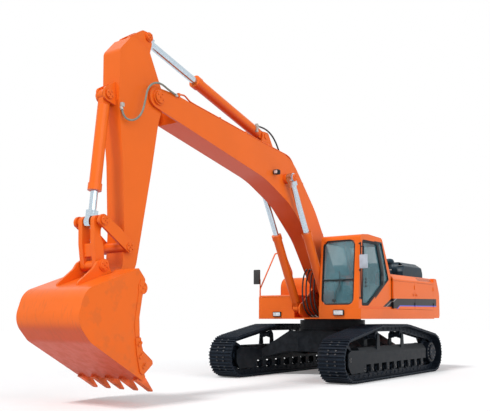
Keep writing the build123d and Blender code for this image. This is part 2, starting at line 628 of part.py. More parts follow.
def hydraulic_tank():
    wall = 8.0
    low = DECK_LOW + DECK_PLATE + FIT
    box = (HYDRAULIC_REAR + 4, TANK_REAR - 4, -HOUSE_HALF + BEAM + 3, -EAR_OUTER - 60)
    tank = block(*box, low, HOUSE_HIGH)
    tank -= block(box[0] + wall, box[1] - wall, box[2] + wall, box[3] - wall, low + wall, HOUSE_HIGH - wall)
    return tank + rod((-1200, -900, HOUSE_HIGH - 5), (-1200, -900, HOUSE_HIGH + 40), 90)


TOOL_BOX_HIGH = 1790.0
TOOL_BOX_LEFT = -560.0
LID_REAR = TANK_FRONT + 10
LID_HIGH = TOOL_BOX_HIGH + 47
LID_AXIS = (LID_REAR - 1, LID_HIGH + HINGE_OUT)
LID_HINGES = (-1300.0, -760.0)


def tool_box():
    """Box that serves as a step, open at the top under its lid."""
    rear, front, foot, wall = TANK_FRONT + 4, BOX_FRONT - 4, SKIRT_HIGH + FIT, 8.0
    box = block(rear, front, -HOUSE_HALF, TOOL_BOX_LEFT, foot, TOOL_BOX_HIGH)
    box -= block(rear + wall, front - wall, -HOUSE_HALF + wall, TOOL_BOX_LEFT - wall, foot + wall, TOOL_BOX_HIGH + 1)
    for y in LID_HINGES:
        for low, high in ((-1.5, -0.5), (0.5, 1.5)):
            lug = (y + low * HINGE_LEAF + FIT, y + high * HINGE_LEAF - FIT)
            box += block(rear, rear + 3.5, *lug, TOOL_BOX_HIGH - 30, LID_AXIS[1])
    return box


def tool_box_lid():
    low, front = TOOL_BOX_HIGH + DOOR_GAP, BOX_FRONT - 4
    side = [(LID_REAR, low), (front, low), (front, low + 14), (front - 56, LID_HIGH, 20), (LID_REAR, LID_HIGH)]
    lid = slab(side, -HOUSE_HALF, TOOL_BOX_LEFT)
    return lid - block(LID_REAR + 20, front - 76, -HOUSE_HALF + 20, TOOL_BOX_LEFT - 20, low - 1, low + 30)


save("upper_frame", upper_frame())
save("engine_block", block(-2450, -1700, -600, 500, PLATE_HIGH + FIT, 2180))
save("swing_motor", rod((-520, 0, DECK_LOW + DECK_PLATE + FIT), (-520, 0, 1900), 190)
     + rod((-520, 0, 1899), (-520, 0, 2080), 120))
room = room_frame()
for name, span, side, edge in (
    ("left_front_door", LEFT_DOORS[0], 1, MID_POST[1] + DOOR_GAP / 2),
    ("left_rear_door", LEFT_DOORS[1], 1, DOORS_REAR - DOOR_GAP / 2),
    ("right_side_door", RIGHT_DOOR, -1, DOORS_REAR - DOOR_GAP / 2),
):
    axis_at = (edge, side * (HOUSE_HALF + HINGE_OUT), 0)
    room, door = hang(room, side_door(*span, side), axis_at, (0, 0, 1), DOOR_HINGES)
    save(name, door)
save("machine_room_frame", room)
weight, hood = hang(counterweight(), engine_hood(), (HOOD[0] - HINGE_OUT, 0, HOUSE_HIGH + 2.5), (0, 1, 0), (-700, 700))
save("counterweight", weight)
save("engine_hood", hood)
save("fuel_tank", fuel_tank())
save("hydraulic_tank", hydraulic_tank())
box, lid = hang(tool_box(), tool_box_lid(), (LID_AXIS[0], 0, LID_AXIS[1]), (0, 1, 0), LID_HINGES, 7.0)
save("tool_box", box)
save("tool_box_lid", lid)


# ---- cab
CAB_LOW = SKIRT_HIGH + FIT
CAB_SIDE = [      # side outline of the cab
    (CAB_FRONT, CAB_LOW), (CAB_FRONT, 1640, 200), (1345, CAB_TOP - 30, 90), (1000, CAB_TOP, 400),
    (320, CAB_TOP - 30, 110), (-95, 2290, 300), (HOUSE_FRONT + 10, 2150, 60), (HOUSE_FRONT + 10, CAB_LOW),
]
ROOF_LOW = 2995.0
FRONT_GLASS = (CAB_RIGHT + 75, CAB_LEFT - 145)   # right and left edges of the windscreen
FRONT_SPLIT = 2105.0
DOOR = [          # side outline of the door opening
    (1345, 1560, 40), (1040, 1560, 60), (330, 1985, 120), (330, 2350, 200), (560, 2965, 90), (1280, 2965, 60),
]
DOOR_GLASS_LOW = 1950.0
QUARTER = [(505, 2950, 30), (335, 2950, 40), (10, 2165, 60), (235, 2030, 60), (240, 2380, 200)]
DOOR_HINGE_X = 330.0 + DOOR_GAP / 2
CAB_HINGES = (2070.0, 2270.0)
RIGHT_WINDOW = [(1270, 1900, 60), (1220, 2930, 60), (360, 2930, 80), (80, 2290, 80), (80, 1900, 60)]


def cab_shell():
    whole = slab(CAB_SIDE, CAB_RIGHT, CAB_LEFT)
    return whole - slab(inset(CAB_SIDE, CAB_WALL), CAB_RIGHT + CAB_WALL, CAB_LEFT - CAB_WALL)


def cab_panels():
    """The shell parted where its panels meet, with the windows and the door way cut."""
    shell = cab_shell()
    far = 4000.0
    floor_top = CAB_LOW + CAB_WALL
    left_in, right_in = CAB_LEFT - CAB_WALL, CAB_RIGHT + CAB_WALL
    middle = (floor_top, ROOF_LOW)
    panels = {
        "cab_floor": shell & block(-far, far, 0, 3000, 0, floor_top),
        "cab_roof": shell & block(-far, far, 0, 3000, ROOF_LOW, far),
        "cab_left_side": shell & block(-far, far, left_in, 3000, *middle),
        "cab_right_side": shell & block(-far, far, 0, right_in, *middle),
        "cab_front_frame": shell & block(900, far, right_in, left_in, *middle),
        "cab_rear_wall": shell & block(-far, 900, right_in, left_in, *middle),
    }
    door_way = slab(DOOR, left_in - 1, CAB_LEFT + 1)
    panels["cab_left_side"] -= door_way
    panels["cab_left_side"] -= slab(QUARTER, left_in - 1, CAB_LEFT + 1)
    panels["cab_right_side"] -= slab(RIGHT_WINDOW, CAB_RIGHT - 1, right_in + 1)
    panels["cab_front_frame"] -= block(900, far, FRONT_GLASS[0], FRONT_GLASS[1], 1600, FRONT_SPLIT - 15)
    panels["cab_front_frame"] -= block(900, far, FRONT_GLASS[0], FRONT_GLASS[1], FRONT_SPLIT + 15, 2950)
    panels["cab_rear_wall"] -= block(-far, 900, right_in + 90, left_in - 90, 2320, 2900)
    return panels


def cab_windows():
    """Panes set in the middle of the walls."""
    near = CAB_WALL / 2 - GLASS / 2
    sheet = slab(inset(CAB_SIDE, near), 0, 3000) - slab(inset(CAB_SIDE, near + GLASS), -1, 3001)
    y0, y1 = FRONT_GLASS[0] + FIT, FRONT_GLASS[1] - FIT
    lower = sheet & block(900, 4000, y0, y1, 1600 + FIT, FRONT_SPLIT - 15 - FIT)
    upper = sheet & block(900, 4000, y0, y1, FRONT_SPLIT + 15 + FIT, 2950 - FIT)
    inner = (CAB_RIGHT + CAB_WALL + 90 + FIT, CAB_LEFT - CAB_WALL - 90 - FIT)
    rear = sheet & block(-4000, 900, *inner, 2320 + FIT, 2900 - FIT)
    panes = [lower, upper, rear]
    for points, wall in ((RIGHT_WINDOW, CAB_RIGHT), (QUARTER, CAB_LEFT - CAB_WALL)):
        panes.append(slab(inset(points, FIT), wall + near, wall + near + GLASS))
    return panes


def cab_door():
    """Door frame with its glass opening, and the pane."""
    inner, frame = CAB_LEFT - CAB_WALL, 55.0
    leaf = slab(inset(DOOR, DOOR_GAP), inner, CAB_LEFT)
    leaf -= slab(inset(DOOR, DOOR_GAP + frame), inner - 1, CAB_LEFT + 1)
    middle = CAB_LEFT - CAB_WALL / 2
    return leaf, slab(inset(DOOR, DOOR_GAP + frame + FIT), middle - GLASS / 2, middle + GLASS / 2)


SEAT_X = 520.0
SEAT_Y = (CAB_RIGHT + CAB_LEFT) / 2


def seat():
    base = block(SEAT_X - 220, SEAT_X + 240, SEAT_Y - 220, SEAT_Y + 220, CAB_LOW + CAB_WALL + FIT, 1830)
    cushion = [(SEAT_X - 260, 1830), (SEAT_X + 290, 1830, 40), (SEAT_X + 290, 1970, 60), (SEAT_X - 140, 1940, 30),
               (SEAT_X - 270, 2560, 60), (SEAT_X - 390, 2540, 50), (SEAT_X - 330, 1950, 60)]
    return base + slab(cushion, SEAT_Y - 250, SEAT_Y + 250)


def consoles():
    floor_top = CAB_LOW + CAB_WALL + FIT
    body = []
    for side in (-1, 1):
        near, far = sorted((SEAT_Y + side * 270, SEAT_Y + side * 410))
        side_box = slab([(SEAT_X - 250, floor_top), (SEAT_X + 300, floor_top), (SEAT_X + 340, 2060, 40),
                         (SEAT_X - 250, 2010, 30)], near, far)
        lever = SEAT_Y + side * 340
        side_box += rod((SEAT_X + 250, lever, 2030), (SEAT_X + 300, lever, 2230), 22)
        body.append(side_box)
    pedals = block(1130, 1190, SEAT_Y - 160, SEAT_Y + 160, floor_top, 1700)
    for side in (-1, 1):
        y = SEAT_Y + side * 90
        pedals += rod((1160, y, 1690), (1100, y, 2120), 12)
    body.append(pedals)
    return body


panels = cab_panels()
leaf, pane = cab_door()
panels["cab_left_side"], leaf = hang(
    panels["cab_left_side"], leaf, (DOOR_HINGE_X, CAB_LEFT + HINGE_OUT, 0), (0, 0, 1), CAB_HINGES
)
for name, shape in panels.items():
    save(name, shape)
save("cab_windows", *cab_windows())
save("cab_door", leaf)
save("cab_door_glass", pane)
save("operator_seat", seat())
save("consoles", *consoles())


# ---- boom
def along(start, end):
    """Unit vector and length from one (x, z) to another."""
    dx, dz = end[0] - start[0], end[1] - start[1]
    return dx / hypot(dx, dz), dz / hypot(dx, dz), hypot(dx, dz)


BOOM_SIDE = [
    (110, 2130, 165), (150, 1890, 165), (420, 1870, 200), (750, 2190, 400), (1400, 3040, 1800),
    (2250, 3720, 1500), (3150, 4115, 2500), (6200, 4760, 300), (6500, 4830, 165), (6480, 5140, 150),
    (5900, 5140, 400), (3200, 4825, 3000), (2160, 4715, 900), (1180, 3700, 2500),
]
FORK_ROOT = 5780.0
FORK_INNER = ARM_HALF + 12
BOOM_EYE_RADIUS = 165.0


def boom():
    """Box of side plates and flanges, with a fork at the tip and bosses at its pins."""
    body = slab(BOOM_SIDE, -BOOM_HALF, BOOM_HALF)
    half = BOOM_HALF - BOOM_SIDE_PLATE
    hollow = slab(inset(BOOM_SIDE, BOOM_FLANGE), -half, half)
    hollow &= block(620, FORK_ROOT - 60, -1000, 1000, 0, 9000)
    body -= hollow
    body -= block(FORK_ROOT, 7000, -FORK_INNER, FORK_INNER, 3000, 6000)
    for pin, radius in ((BOOM_CYL_HEAD, 105), (ARM_CYL_FOOT, 0)):
        if radius:
            reach = BOOM_CYL_Y - BOOM_CYL[4] - RUN
            body += cross(pin, -reach, reach, radius)
    for side in (-1, 1):
        near, far = sorted((side * (BOOM_HALF - 1), side * (BOOM_HALF + 32)))
        body += cross(BOOM_TIP, near, far, 130)
    ear = [(ARM_CYL_FOOT[0] - 330, 4770), (ARM_CYL_FOOT[0] + 170, 4800),
           (ARM_CYL_FOOT[0] + 90, ARM_CYL_FOOT[1] + 90, 70), (ARM_CYL_FOOT[0] - 90, ARM_CYL_FOOT[1] + 90, 70)]
    inner = ARM_CYL[4] + RUN
    for side in (-1, 1):
        near, far = sorted((side * inner, side * (inner + 42)))
        body += slab(ear, near, far)
    body += cross(ARM_CYL_FOOT, -inner - 60, inner + 60, PIN_RADIUS)
    body -= cross(BOOM_FOOT, -400, 400, PIN_RADIUS + 10 + PIN_FIT)
    return body - cross(BOOM_TIP, -400, 400, PIN_RADIUS + 5 + PIN_FIT)


def cylinder_tube(foot, head, sizes, y, bore=True):
    """Barrel with its foot eye, gland and end cap, bored for the rod."""
    barrel, rod_radius, length, eye, half = sizes
    ux, uz, _ = along(foot, head)
    gland = (foot[0] + ux * length, foot[1] + uz * length)

    def on(distance):
        return (foot[0] + ux * distance, y, foot[1] + uz * distance)

    tube = rod(on(eye + 70), on(length - 110), barrel) + cross(foot, y - half, y + half, eye)
    neck, wide = eye + 75, 0.8 * min(eye, barrel)
    flat = Plane((foot[0], y, foot[1]), x_dir=(ux, 0, uz), z_dir=(0, -1, 0)) * Pos(neck / 2, 0) * Rectangle(neck, 2 * wide)
    tube += extrude(flat, amount=half, both=True)
    tube += rod(on(length - 111), on(length), barrel + 14)
    tube -= rod(on(eye + 90), on(length + 1), rod_radius + PIN_FIT)
    return tube - cross(foot, y - half - 1, y + half + 1, PIN_RADIUS + PIN_FIT)


def cylinder_rod(foot, head, sizes, y, inside):
    """Chromed rod with its head eye; inside is how far it reaches back into the barrel."""
    barrel, rod_radius, length, eye, half = sizes
    ux, uz, reach = along(foot, head)

    def on(distance):
        return (foot[0] + ux * distance, y, foot[1] + uz * distance)

    bar = rod(on(length - inside), on(reach - eye - 20), rod_radius)
    neck = Plane((head[0], y, head[1]), x_dir=(-ux, 0, -uz), z_dir=(0, -1, 0))
    bar += extrude(neck * Pos(eye / 2 + 40, 0) * Rectangle(eye + 80, 1.5 * eye), amount=half, both=True)
    return bar + cross(head, y - half, y + half, eye)


def boom_rods():
    rods = []
    for side in (-1, 1):
        y = side * BOOM_CYL_Y
        bar = cylinder_rod(BOOM_CYL_FOOT, BOOM_CYL_HEAD, BOOM_CYL, y, 760)
        near, far = sorted((y, y + side * (BOOM_CYL[4] + 16)))
        bar += cross(BOOM_CYL_HEAD, near, far, 70)
        rods.append(bar)
    return rods


save("boom", boom())
save("boom_cylinder_tubes", *[cylinder_tube(BOOM_CYL_FOOT, BOOM_CYL_HEAD, BOOM_CYL, s * BOOM_CYL_Y) for s in (-1, 1)])
save("boom_cylinder_rods", *boom_rods())
save("arm_cylinder_tube", cylinder_tube(ARM_CYL_FOOT, ARM_CYL_HEAD, ARM_CYL, 0))
save("arm_cylinder_rod", cylinder_rod(ARM_CYL_FOOT, ARM_CYL_HEAD, ARM_CYL, 0, 1050))


# ---- arm
ARM_SIDE = [
    (6860, 5880, 120), (7140, 5560, 120), (7135, 4630, 400), (7035, 3760, 2000), (6985, 2600, 800), (7010, 2100, 200),
    (7168, 1826), (7150, 1680, 60), (6975, 1680, 60), (6715, 2130, 400), (6390, 3710, 2000), (6235, 4570, 400),
    (6150, 4800, 150), (6165, 5130, 150), (6470, 5720, 60),
]


ARM_NOSE = 128.0           # radius round the bucket pin


def arm():
    """Box section with the boom pin's boss, ears for the arm and bucket cylinders and the bucket boss."""
    body = slab(ARM_SIDE, -ARM_HALF, ARM_HALF)
    half = ARM_HALF - ARM_PLATE
    hollow = slab(inset(ARM_SIDE, BOOM_FLANGE), -half, half)
    hollow &= block(0, 9000, -1000, 1000, 2020, 9000)
    body -= hollow - cross(BOOM_TIP, -300, 300, 150) - cross(GUIDE_PIN, -300, 300, 95)
    body += cross(BOOM_TIP, -ARM_HALF, ARM_HALF, 145)
    ear = [(6860, 5700), (6900, 5850, 100), (6560, 6080, 100), (6380, 6080, 80), (6340, 5900, 80), (6420, 5600)]
    inner = ARM_CYL[4] + RUN + 6
    for side in (-1, 1):
        near, far = sorted((side * inner, side * (inner + 45)))
        body += slab(ear, near, far)
        near, far = sorted((side * (inner + 44), side * (inner + 70)))
        body += cross(ARM_CYL_HEAD, near, far, 80)
    front_ear = [(7100, 4650), (BUCKET_CYL_FOOT[0] + 95, 4705, 80), (BUCKET_CYL_FOOT[0] + 95, 4895, 80),
                 (7100, 5060)]
    inner = BUCKET_CYL[4] + RUN
    for side in (-1, 1):
        near, far = sorted((side * inner, side * (inner + 40)))
        body += slab(front_ear, near, far)
    body += cross(BUCKET_CYL_FOOT, -inner - 60, inner + 60, PIN_RADIUS)
    body += cross(BUCKET_PIN, -ARM_HALF, ARM_HALF, ARM_NOSE)
    body += cross(GUIDE_PIN, -ARM_HALF - 52, ARM_HALF + 52, 90)
    body += cross(GUIDE_PIN, -ARM_HALF - 106, ARM_HALF + 106, PIN_RADIUS)
    body += cross(BOOM_TIP, -BOOM_HALF - 45, BOOM_HALF + 45, PIN_RADIUS + 5)
    return body - cross(BUCKET_PIN, -400, 400, PIN_RADIUS + PIN_FIT)


GUIDE_INNER = ARM_HALF + 58.0
GUIDE_OUTER = GUIDE_INNER + 42.0
LINK_LEG_INNER = 92.0
LINK_LEG_OUTER = 178.0


def guide_links():
    """Pair of links from the arm to the link pin, each with its half of that pin."""
    ux, uz, reach = along(GUIDE_PIN, LINK_PIN)
    plan = [(-95, -88, 84), (reach + 95, -88, 84), (reach + 95, 88, 84), (reach / 2, 118, 300), (-95, 88, 84)]
    links = []
    for side in (-1, 1):
        near, far = sorted((side * GUIDE_INNER, side * GUIDE_OUTER))
        at = Plane((GUIDE_PIN[0], near, GUIDE_PIN[1]), x_dir=(ux, 0, uz), z_dir=(0, -1, 0))
        link = extrude(at * face(plan), amount=far - near, dir=(0, 1, 0))
        link -= cross(GUIDE_PIN, near - 1, far + 1, PIN_RADIUS + PIN_FIT)
        stub = sorted((side * (LINK_LEG_OUTER + RUN), side * (GUIDE_OUTER + 18)))
        links.append(link + cross(LINK_PIN, *stub, PIN_RADIUS))
    return links


def bucket_link():
    """H-shaped link from the link pin to the bucket's ears, hollowed on the arm's side."""
    ux, uz, reach = along(LINK_PIN, EAR_PIN)
    plan = [(-90, -90, 85), (45, -86, 60), (130, -26, 120), (250, -26, 120), (350, -70, 120),
            (reach + 84, -84, 80), (reach + 84, 84, 80), (reach / 2, 112, 400), (-90, 90, 85)]
    link = cross(EAR_PIN, -LINK_LEG_OUTER, LINK_LEG_OUTER, 84)
    for side in (-1, 1):
        near, far = sorted((side * LINK_LEG_INNER, side * LINK_LEG_OUTER))
        at = Plane((LINK_PIN[0], near, LINK_PIN[1]), x_dir=(ux, 0, uz), z_dir=(0, -1, 0))
        link += extrude(at * face(plan), amount=far - near, dir=(0, 1, 0))
    web = Plane((LINK_PIN[0], -LINK_LEG_INNER - 1, LINK_PIN[1]), x_dir=(ux, 0, uz), z_dir=(0, -1, 0))
    bar = face([(330, -15, 20), (reach - 130, -15, 20), (reach - 130, 75, 20), (330, 75, 20)])
    link += extrude(web * bar, amount=2 * LINK_LEG_INNER + 2, dir=(0, 1, 0))
    return link - cross(EAR_PIN, -300, 300, PIN_RADIUS + PIN_FIT)


# ---- bucket
BUCKET_SIDE = [
    (7300, 1990, 60), (8180, 1690, 300), (8330, 1250, 300), (8080, 960, 260), (7060, 370), (6990, 420),
    (7080, 640, 60), (7090, 860, 200), (7150, 1200, 300), (7080, 1580, 150), (7010, 1880, 60), (7160, 2045, 25),
]
BUCKET_EAR_Y = ARM_HALF + 10.0
BUCKET_EAR = 42.0


def bucket():
    """Rolled shell between two side plates, with the ears of the linkage on its back."""
    shell = slab(BUCKET_SIDE, -BUCKET_HALF, BUCKET_HALF)
    inside = [
        (7290, 1962, 60), (8155, 1665, 285), (8295, 1255, 280), (8060, 985, 240), (7075, 410), (6500, 300),
        (6500, 2400), (7158, 2150), (7175, 1962),
    ]
    shell -= slab(inside, BUCKET_SHELL - BUCKET_HALF, BUCKET_HALF - BUCKET_SHELL)
    ear = [(7150, 1920), (6935, 1850, 90), (6950, 1620, 90), (7190, 1630, 90), (7300, 1860, 120), (7900, 1700),
           (7960, 1790, 60), (7640, 2040, 150), (7560, 2160, 110), (7380, 2165, 110), (7300, 2010, 60)]
    for side in (-1, 1):
        near, far = sorted((side * BUCKET_EAR_Y, side * (BUCKET_EAR_Y + BUCKET_EAR)))
        shell += slab(ear[::-1], near, far)
        for pin in (BUCKET_PIN, EAR_PIN):
            near, far = sorted((side * (BUCKET_EAR_Y + BUCKET_EAR - 1), side * (BUCKET_EAR_Y + BUCKET_EAR + 22)))
            shell += cross(pin, near, far, 95)
    bay = BUCKET_EAR_Y + 1
    recess = [(7215, 1500), (7215, 1848), (7440, 1968), (7440, 2100), (6900, 2300), (6900, 1500)]
    shell -= slab(recess, -bay, bay)
    shell += slab([(7205, 1700), (7230, 1700), (7230, 1838), (7470, 1962), (7440, 1985), (7205, 1862)], -bay - 5, bay + 5)
    for pin in (BUCKET_PIN, EAR_PIN):
        shell += cross(pin, -BUCKET_EAR_Y - 60, BUCKET_EAR_Y + 60, PIN_RADIUS)
    return shell


def bucket_teeth(lip):
    """Teeth whose adapters clasp the shell's lip."""
    teeth = []
    for i in range(TOOTH_COUNT):
        y = (i - (TOOTH_COUNT - 1) / 2) * (2 * BUCKET_HALF - 160) / (TOOTH_COUNT - 1)
        side = [(7140, 375), (7060, 335), (6800, 180), (6790, 200), (6960, 410), (7000, 500), (7050, 470)]
        teeth.append(slab(side, y - 50, y + 50) - lip)
    return teeth


save("arm", arm())
save("bucket_cylinder_tube", cylinder_tube(BUCKET_CYL_FOOT, LINK_PIN, BUCKET_CYL, 0))
save("bucket_cylinder_rod", cylinder_rod(BUCKET_CYL_FOOT, LINK_PIN, BUCKET_CYL, 0, 1000))
save("guide_links", *guide_links())
save("bucket_link", bucket_link())
shell = bucket()
save("bucket", shell)
save("bucket_teeth", *bucket_teeth(shell))


# ---- files
box = Compound(children=[s for p in parts.values() for s in p.solids()]).bounding_box()
MIDDLE_X = (box.min.X + box.max.X) / 2
print("middle of the length at", MIDDLE_X, "size", box.size, "low", box.min.Z)
os.makedirs("parts", exist_ok=True)
for name, shape in parts.items():
    export_step(Pos(-MIDDLE_X, 0, 0) * shape, f"parts/{name}.step")
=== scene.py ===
import json
from math import asin, atan2, cos, hypot, pi, radians, sin

import bmesh
import bpy
from mathutils import Matrix, Vector


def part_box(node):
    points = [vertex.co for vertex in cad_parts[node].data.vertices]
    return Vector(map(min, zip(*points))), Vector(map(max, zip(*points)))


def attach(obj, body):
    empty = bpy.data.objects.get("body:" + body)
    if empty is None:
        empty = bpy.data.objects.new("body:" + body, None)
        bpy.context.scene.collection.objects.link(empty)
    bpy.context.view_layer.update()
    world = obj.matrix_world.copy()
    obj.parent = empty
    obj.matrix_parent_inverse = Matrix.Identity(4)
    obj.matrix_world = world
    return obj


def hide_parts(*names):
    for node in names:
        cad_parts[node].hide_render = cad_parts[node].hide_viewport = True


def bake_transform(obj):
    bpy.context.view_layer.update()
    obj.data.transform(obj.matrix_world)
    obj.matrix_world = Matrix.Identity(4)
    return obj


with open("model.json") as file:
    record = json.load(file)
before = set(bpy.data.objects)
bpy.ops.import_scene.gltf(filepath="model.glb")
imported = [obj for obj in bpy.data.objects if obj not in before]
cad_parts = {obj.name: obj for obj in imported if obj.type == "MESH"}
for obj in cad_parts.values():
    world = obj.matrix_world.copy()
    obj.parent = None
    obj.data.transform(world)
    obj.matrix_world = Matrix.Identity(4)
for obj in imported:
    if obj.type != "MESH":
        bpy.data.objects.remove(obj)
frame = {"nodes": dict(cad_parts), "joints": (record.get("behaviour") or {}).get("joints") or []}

bl_info = {
    "name": "Crawler excavator finish",
    "version": (1, 0, 0),
    "blender": (4, 5, 0),
    "location": "View3D > Sidebar > Excavator",
    "description": "Fittings, hoses, seat and finishes for a crawler excavator's frame",
    "category": "Object",
}

NODES = frame["nodes"]
SWING_X = next(joint for joint in frame["joints"] if joint["name"] == "swing")["pos_m"][0]
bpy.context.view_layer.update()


def at(x, y, z):
    """A point given in millimetres from the swing axis on the ground."""
    return Vector((SWING_X + x / 1000, y / 1000, z / 1000))


def between(side, near, far):
    """The lower and the upper of two distances out from the middle, on one side."""
    return sorted((side * near, side * far))


# ---- sizes and colours
class ExcavatorSizes(bpy.types.PropertyGroup):
    """Sizes of the small fittings."""

    bolt: bpy.props.FloatProperty(
        name="Bolt", description="Across the corners of a bolt head", default=0.036, unit="LENGTH")
    shoe_bolt: bpy.props.FloatProperty(
        name="Shoe bolt", description="Across the corners of a track shoe's bolt head", default=0.040, unit="LENGTH")
    hose: bpy.props.FloatProperty(
        name="Hose", description="Outside diameter of a hose", default=0.034, unit="LENGTH")
    edge: bpy.props.FloatProperty(
        name="Edge", description="Radius that softens the edges of plates in the finish", default=0.007, unit="LENGTH")


class ExcavatorColours(bpy.types.PropertyGroup):
    """Colours of the finishes, as linear light."""

    enamel: bpy.props.FloatVectorProperty(
        name="Enamel", description="Paint of the structure and housings", default=(0.87, 0.150, 0.012),
        subtype="COLOR", min=0, max=1)
    black: bpy.props.FloatVectorProperty(
        name="Black paint", description="Paint of the undercarriage and hood", default=(0.007, 0.009, 0.012),
        subtype="COLOR", min=0, max=1)
    glass: bpy.props.FloatVectorProperty(
        name="Glass", description="Tint of the cab's windows", default=(0.06, 0.22, 0.27),
        subtype="COLOR", min=0, max=1)
    stripe: bpy.props.FloatVectorProperty(
        name="Stripe line", description="Thin line under the black stripe", default=(0.10, 0.13, 0.62),
        subtype="COLOR", min=0, max=1)


def sizes():
    return bpy.context.scene.excavator_sizes


def colours():
    return bpy.context.scene.excavator_colours


# ---- shader maths
class Wire:
    """A socket that can be used in sums, as a number is."""

    def __init__(self, finish, socket):
        self.finish, self.socket = finish, socket

    def __add__(self, other):
        return self.finish.sum("ADD", self, other)

    __radd__ = __add__

    def __sub__(self, other):
        return self.finish.sum("SUBTRACT", self, other)

    def __rsub__(self, other):
        return self.finish.sum("SUBTRACT", other, self)

    def __mul__(self, other):
        return self.finish.sum("MULTIPLY", self, other)

    __rmul__ = __mul__

    def __truediv__(self, other):
        return self.finish.sum("DIVIDE", self, other)

    def __gt__(self, other):
        return self.finish.sum("GREATER_THAN", self, other)

    def __lt__(self, other):
        return self.finish.sum("LESS_THAN", self, other)

    def __pow__(self, other):
        return self.finish.sum("POWER", self, other)

    def fraction(self):
        return self.finish.sum("FRACT", self, 0)

    def size(self):
        return self.finish.sum("ABSOLUTE", self, 0)

    def ramp(self, low, high, to_low=0.0, to_high=1.0):
        """to_low below low, to_high above high, and smooth between."""
        return self.finish.wire("MapRange", {"interpolation_type": "SMOOTHSTEP"}, {
            "Value": self, "From Min": low, "From Max": high, "To Min": to_low, "To Max": to_high})


class Maths:
    """A node tree in the making."""

    def __init__(self, tree):
        self.tree = tree
        tree.nodes.clear()

    def node(self, kind, settings=(), sockets=()):
        node = self.tree.nodes.new("ShaderNode" + kind)
        for key, value in dict(settings).items():
            setattr(node, key, value)
        for key, value in dict(sockets).items():
            if isinstance(value, Wire):
                self.tree.links.new(value.socket, node.inputs[key])
            else:
                node.inputs[key].default_value = value
        return node

    def wire(self, kind, settings=(), sockets=(), out=0):
        return Wire(self, self.node(kind, settings, sockets).outputs[out])

    def sum(self, operation, a, b):
        return self.wire("Math", {"operation": operation}, {0: a, 1: b})

    def seen(self):
        """1 for what the camera, a reflection or glass sees."""
        path = self.node("LightPath")
        rays = [Wire(self, path.outputs[f"Is {kind} Ray"]) for kind in ("Camera", "Glossy", "Transmission")]
        return rays[0] + rays[1] + rays[2]


class Finish(Maths):
    """A material in the making."""

    def __init__(self, name):
        self.material = bpy.data.materials.new(name)
        self.material.use_nodes = True
        super().__init__(self.material.node_tree)
        self.place = self.wire("TexCoord", out="Object")
        self.x, self.y, self.z = (self.wire("SeparateXYZ", {}, {0: self.place}, axis) for axis in range(3))

    def blend(self, share, a, b):
        """Colour a where share is 0 and b where it is 1."""
        ends = {key: (*v, 1) if isinstance(v, tuple) and len(v) == 3 else v for key, v in ((6, a), (7, b))}
        return self.wire("Mix", {"data_type": "RGBA"}, {0: share, **ends}, 2)

    def noise(self, scale, detail=2.0, stretch=None):
        place = self.place
        if stretch:
            place = self.wire("Mapping", {}, {"Vector": place, "Scale": stretch})
        return self.wire("TexNoise", {}, {"Vector": place, "Scale": scale, "Detail": detail})

    def soft_normal(self, radius):
        return self.wire("Bevel", {"samples": 4}, {"Radius": radius})

    def edge(self, soft):
        """1 along edges, 0 on flat faces."""
        face = self.wire("NewGeometry", out="Normal")
        dot = self.wire("VectorMath", {"operation": "DOT_PRODUCT"}, {0: soft, 1: face}, "Value")
        return (1 - dot).ramp(0.004, 0.10)

    def upward(self):
        """1 on faces that look up, -1 on those that look down."""
        return self.wire("SeparateXYZ", {}, {0: self.wire("NewGeometry", out="Normal")}, 2)

    def outside_window(self, y, z, half_y, half_z, round_by):
        """How far a point lies outside a window with round corners, in the plane across x."""
        across = self.sum("MAXIMUM", (self.y - y).size() - (half_y - round_by), 0)
        up = self.sum("MAXIMUM", (self.z - z).size() - (half_z - round_by), 0)
        return (across * across + up * up) ** 0.5 - round_by

    def bump(self, height, distance, strength=1.0, normal=None):
        sockets = {"Height": height, "Distance": distance, "Strength": strength}
        if normal:
            sockets["Normal"] = normal
        return self.wire("Bump", {}, sockets)

    def shade(self, **sockets):
        names = {key.replace("_", " ").title().replace("Ior", "IOR"): value for key, value in sockets.items()}
        for key, value in names.items():
            if key.endswith("Color") and isinstance(value, tuple) and len(value) == 3:
                names[key] = (*value, 1)
        surface = self.wire("BsdfPrincipled", {}, names)
        self.node("OutputMaterial", {}, {"Surface": surface})
        return self.material


def shadow_of(colour, share):
    return tuple(share * c for c in colour)


WINDSCREEN = (0.940, 2.275, 0.365, 0.675, 0.12)    # middle, half width and height, and corner radius
SEAL = (0.012, 0.013, 0.014)                       # colour of the rubber round a window


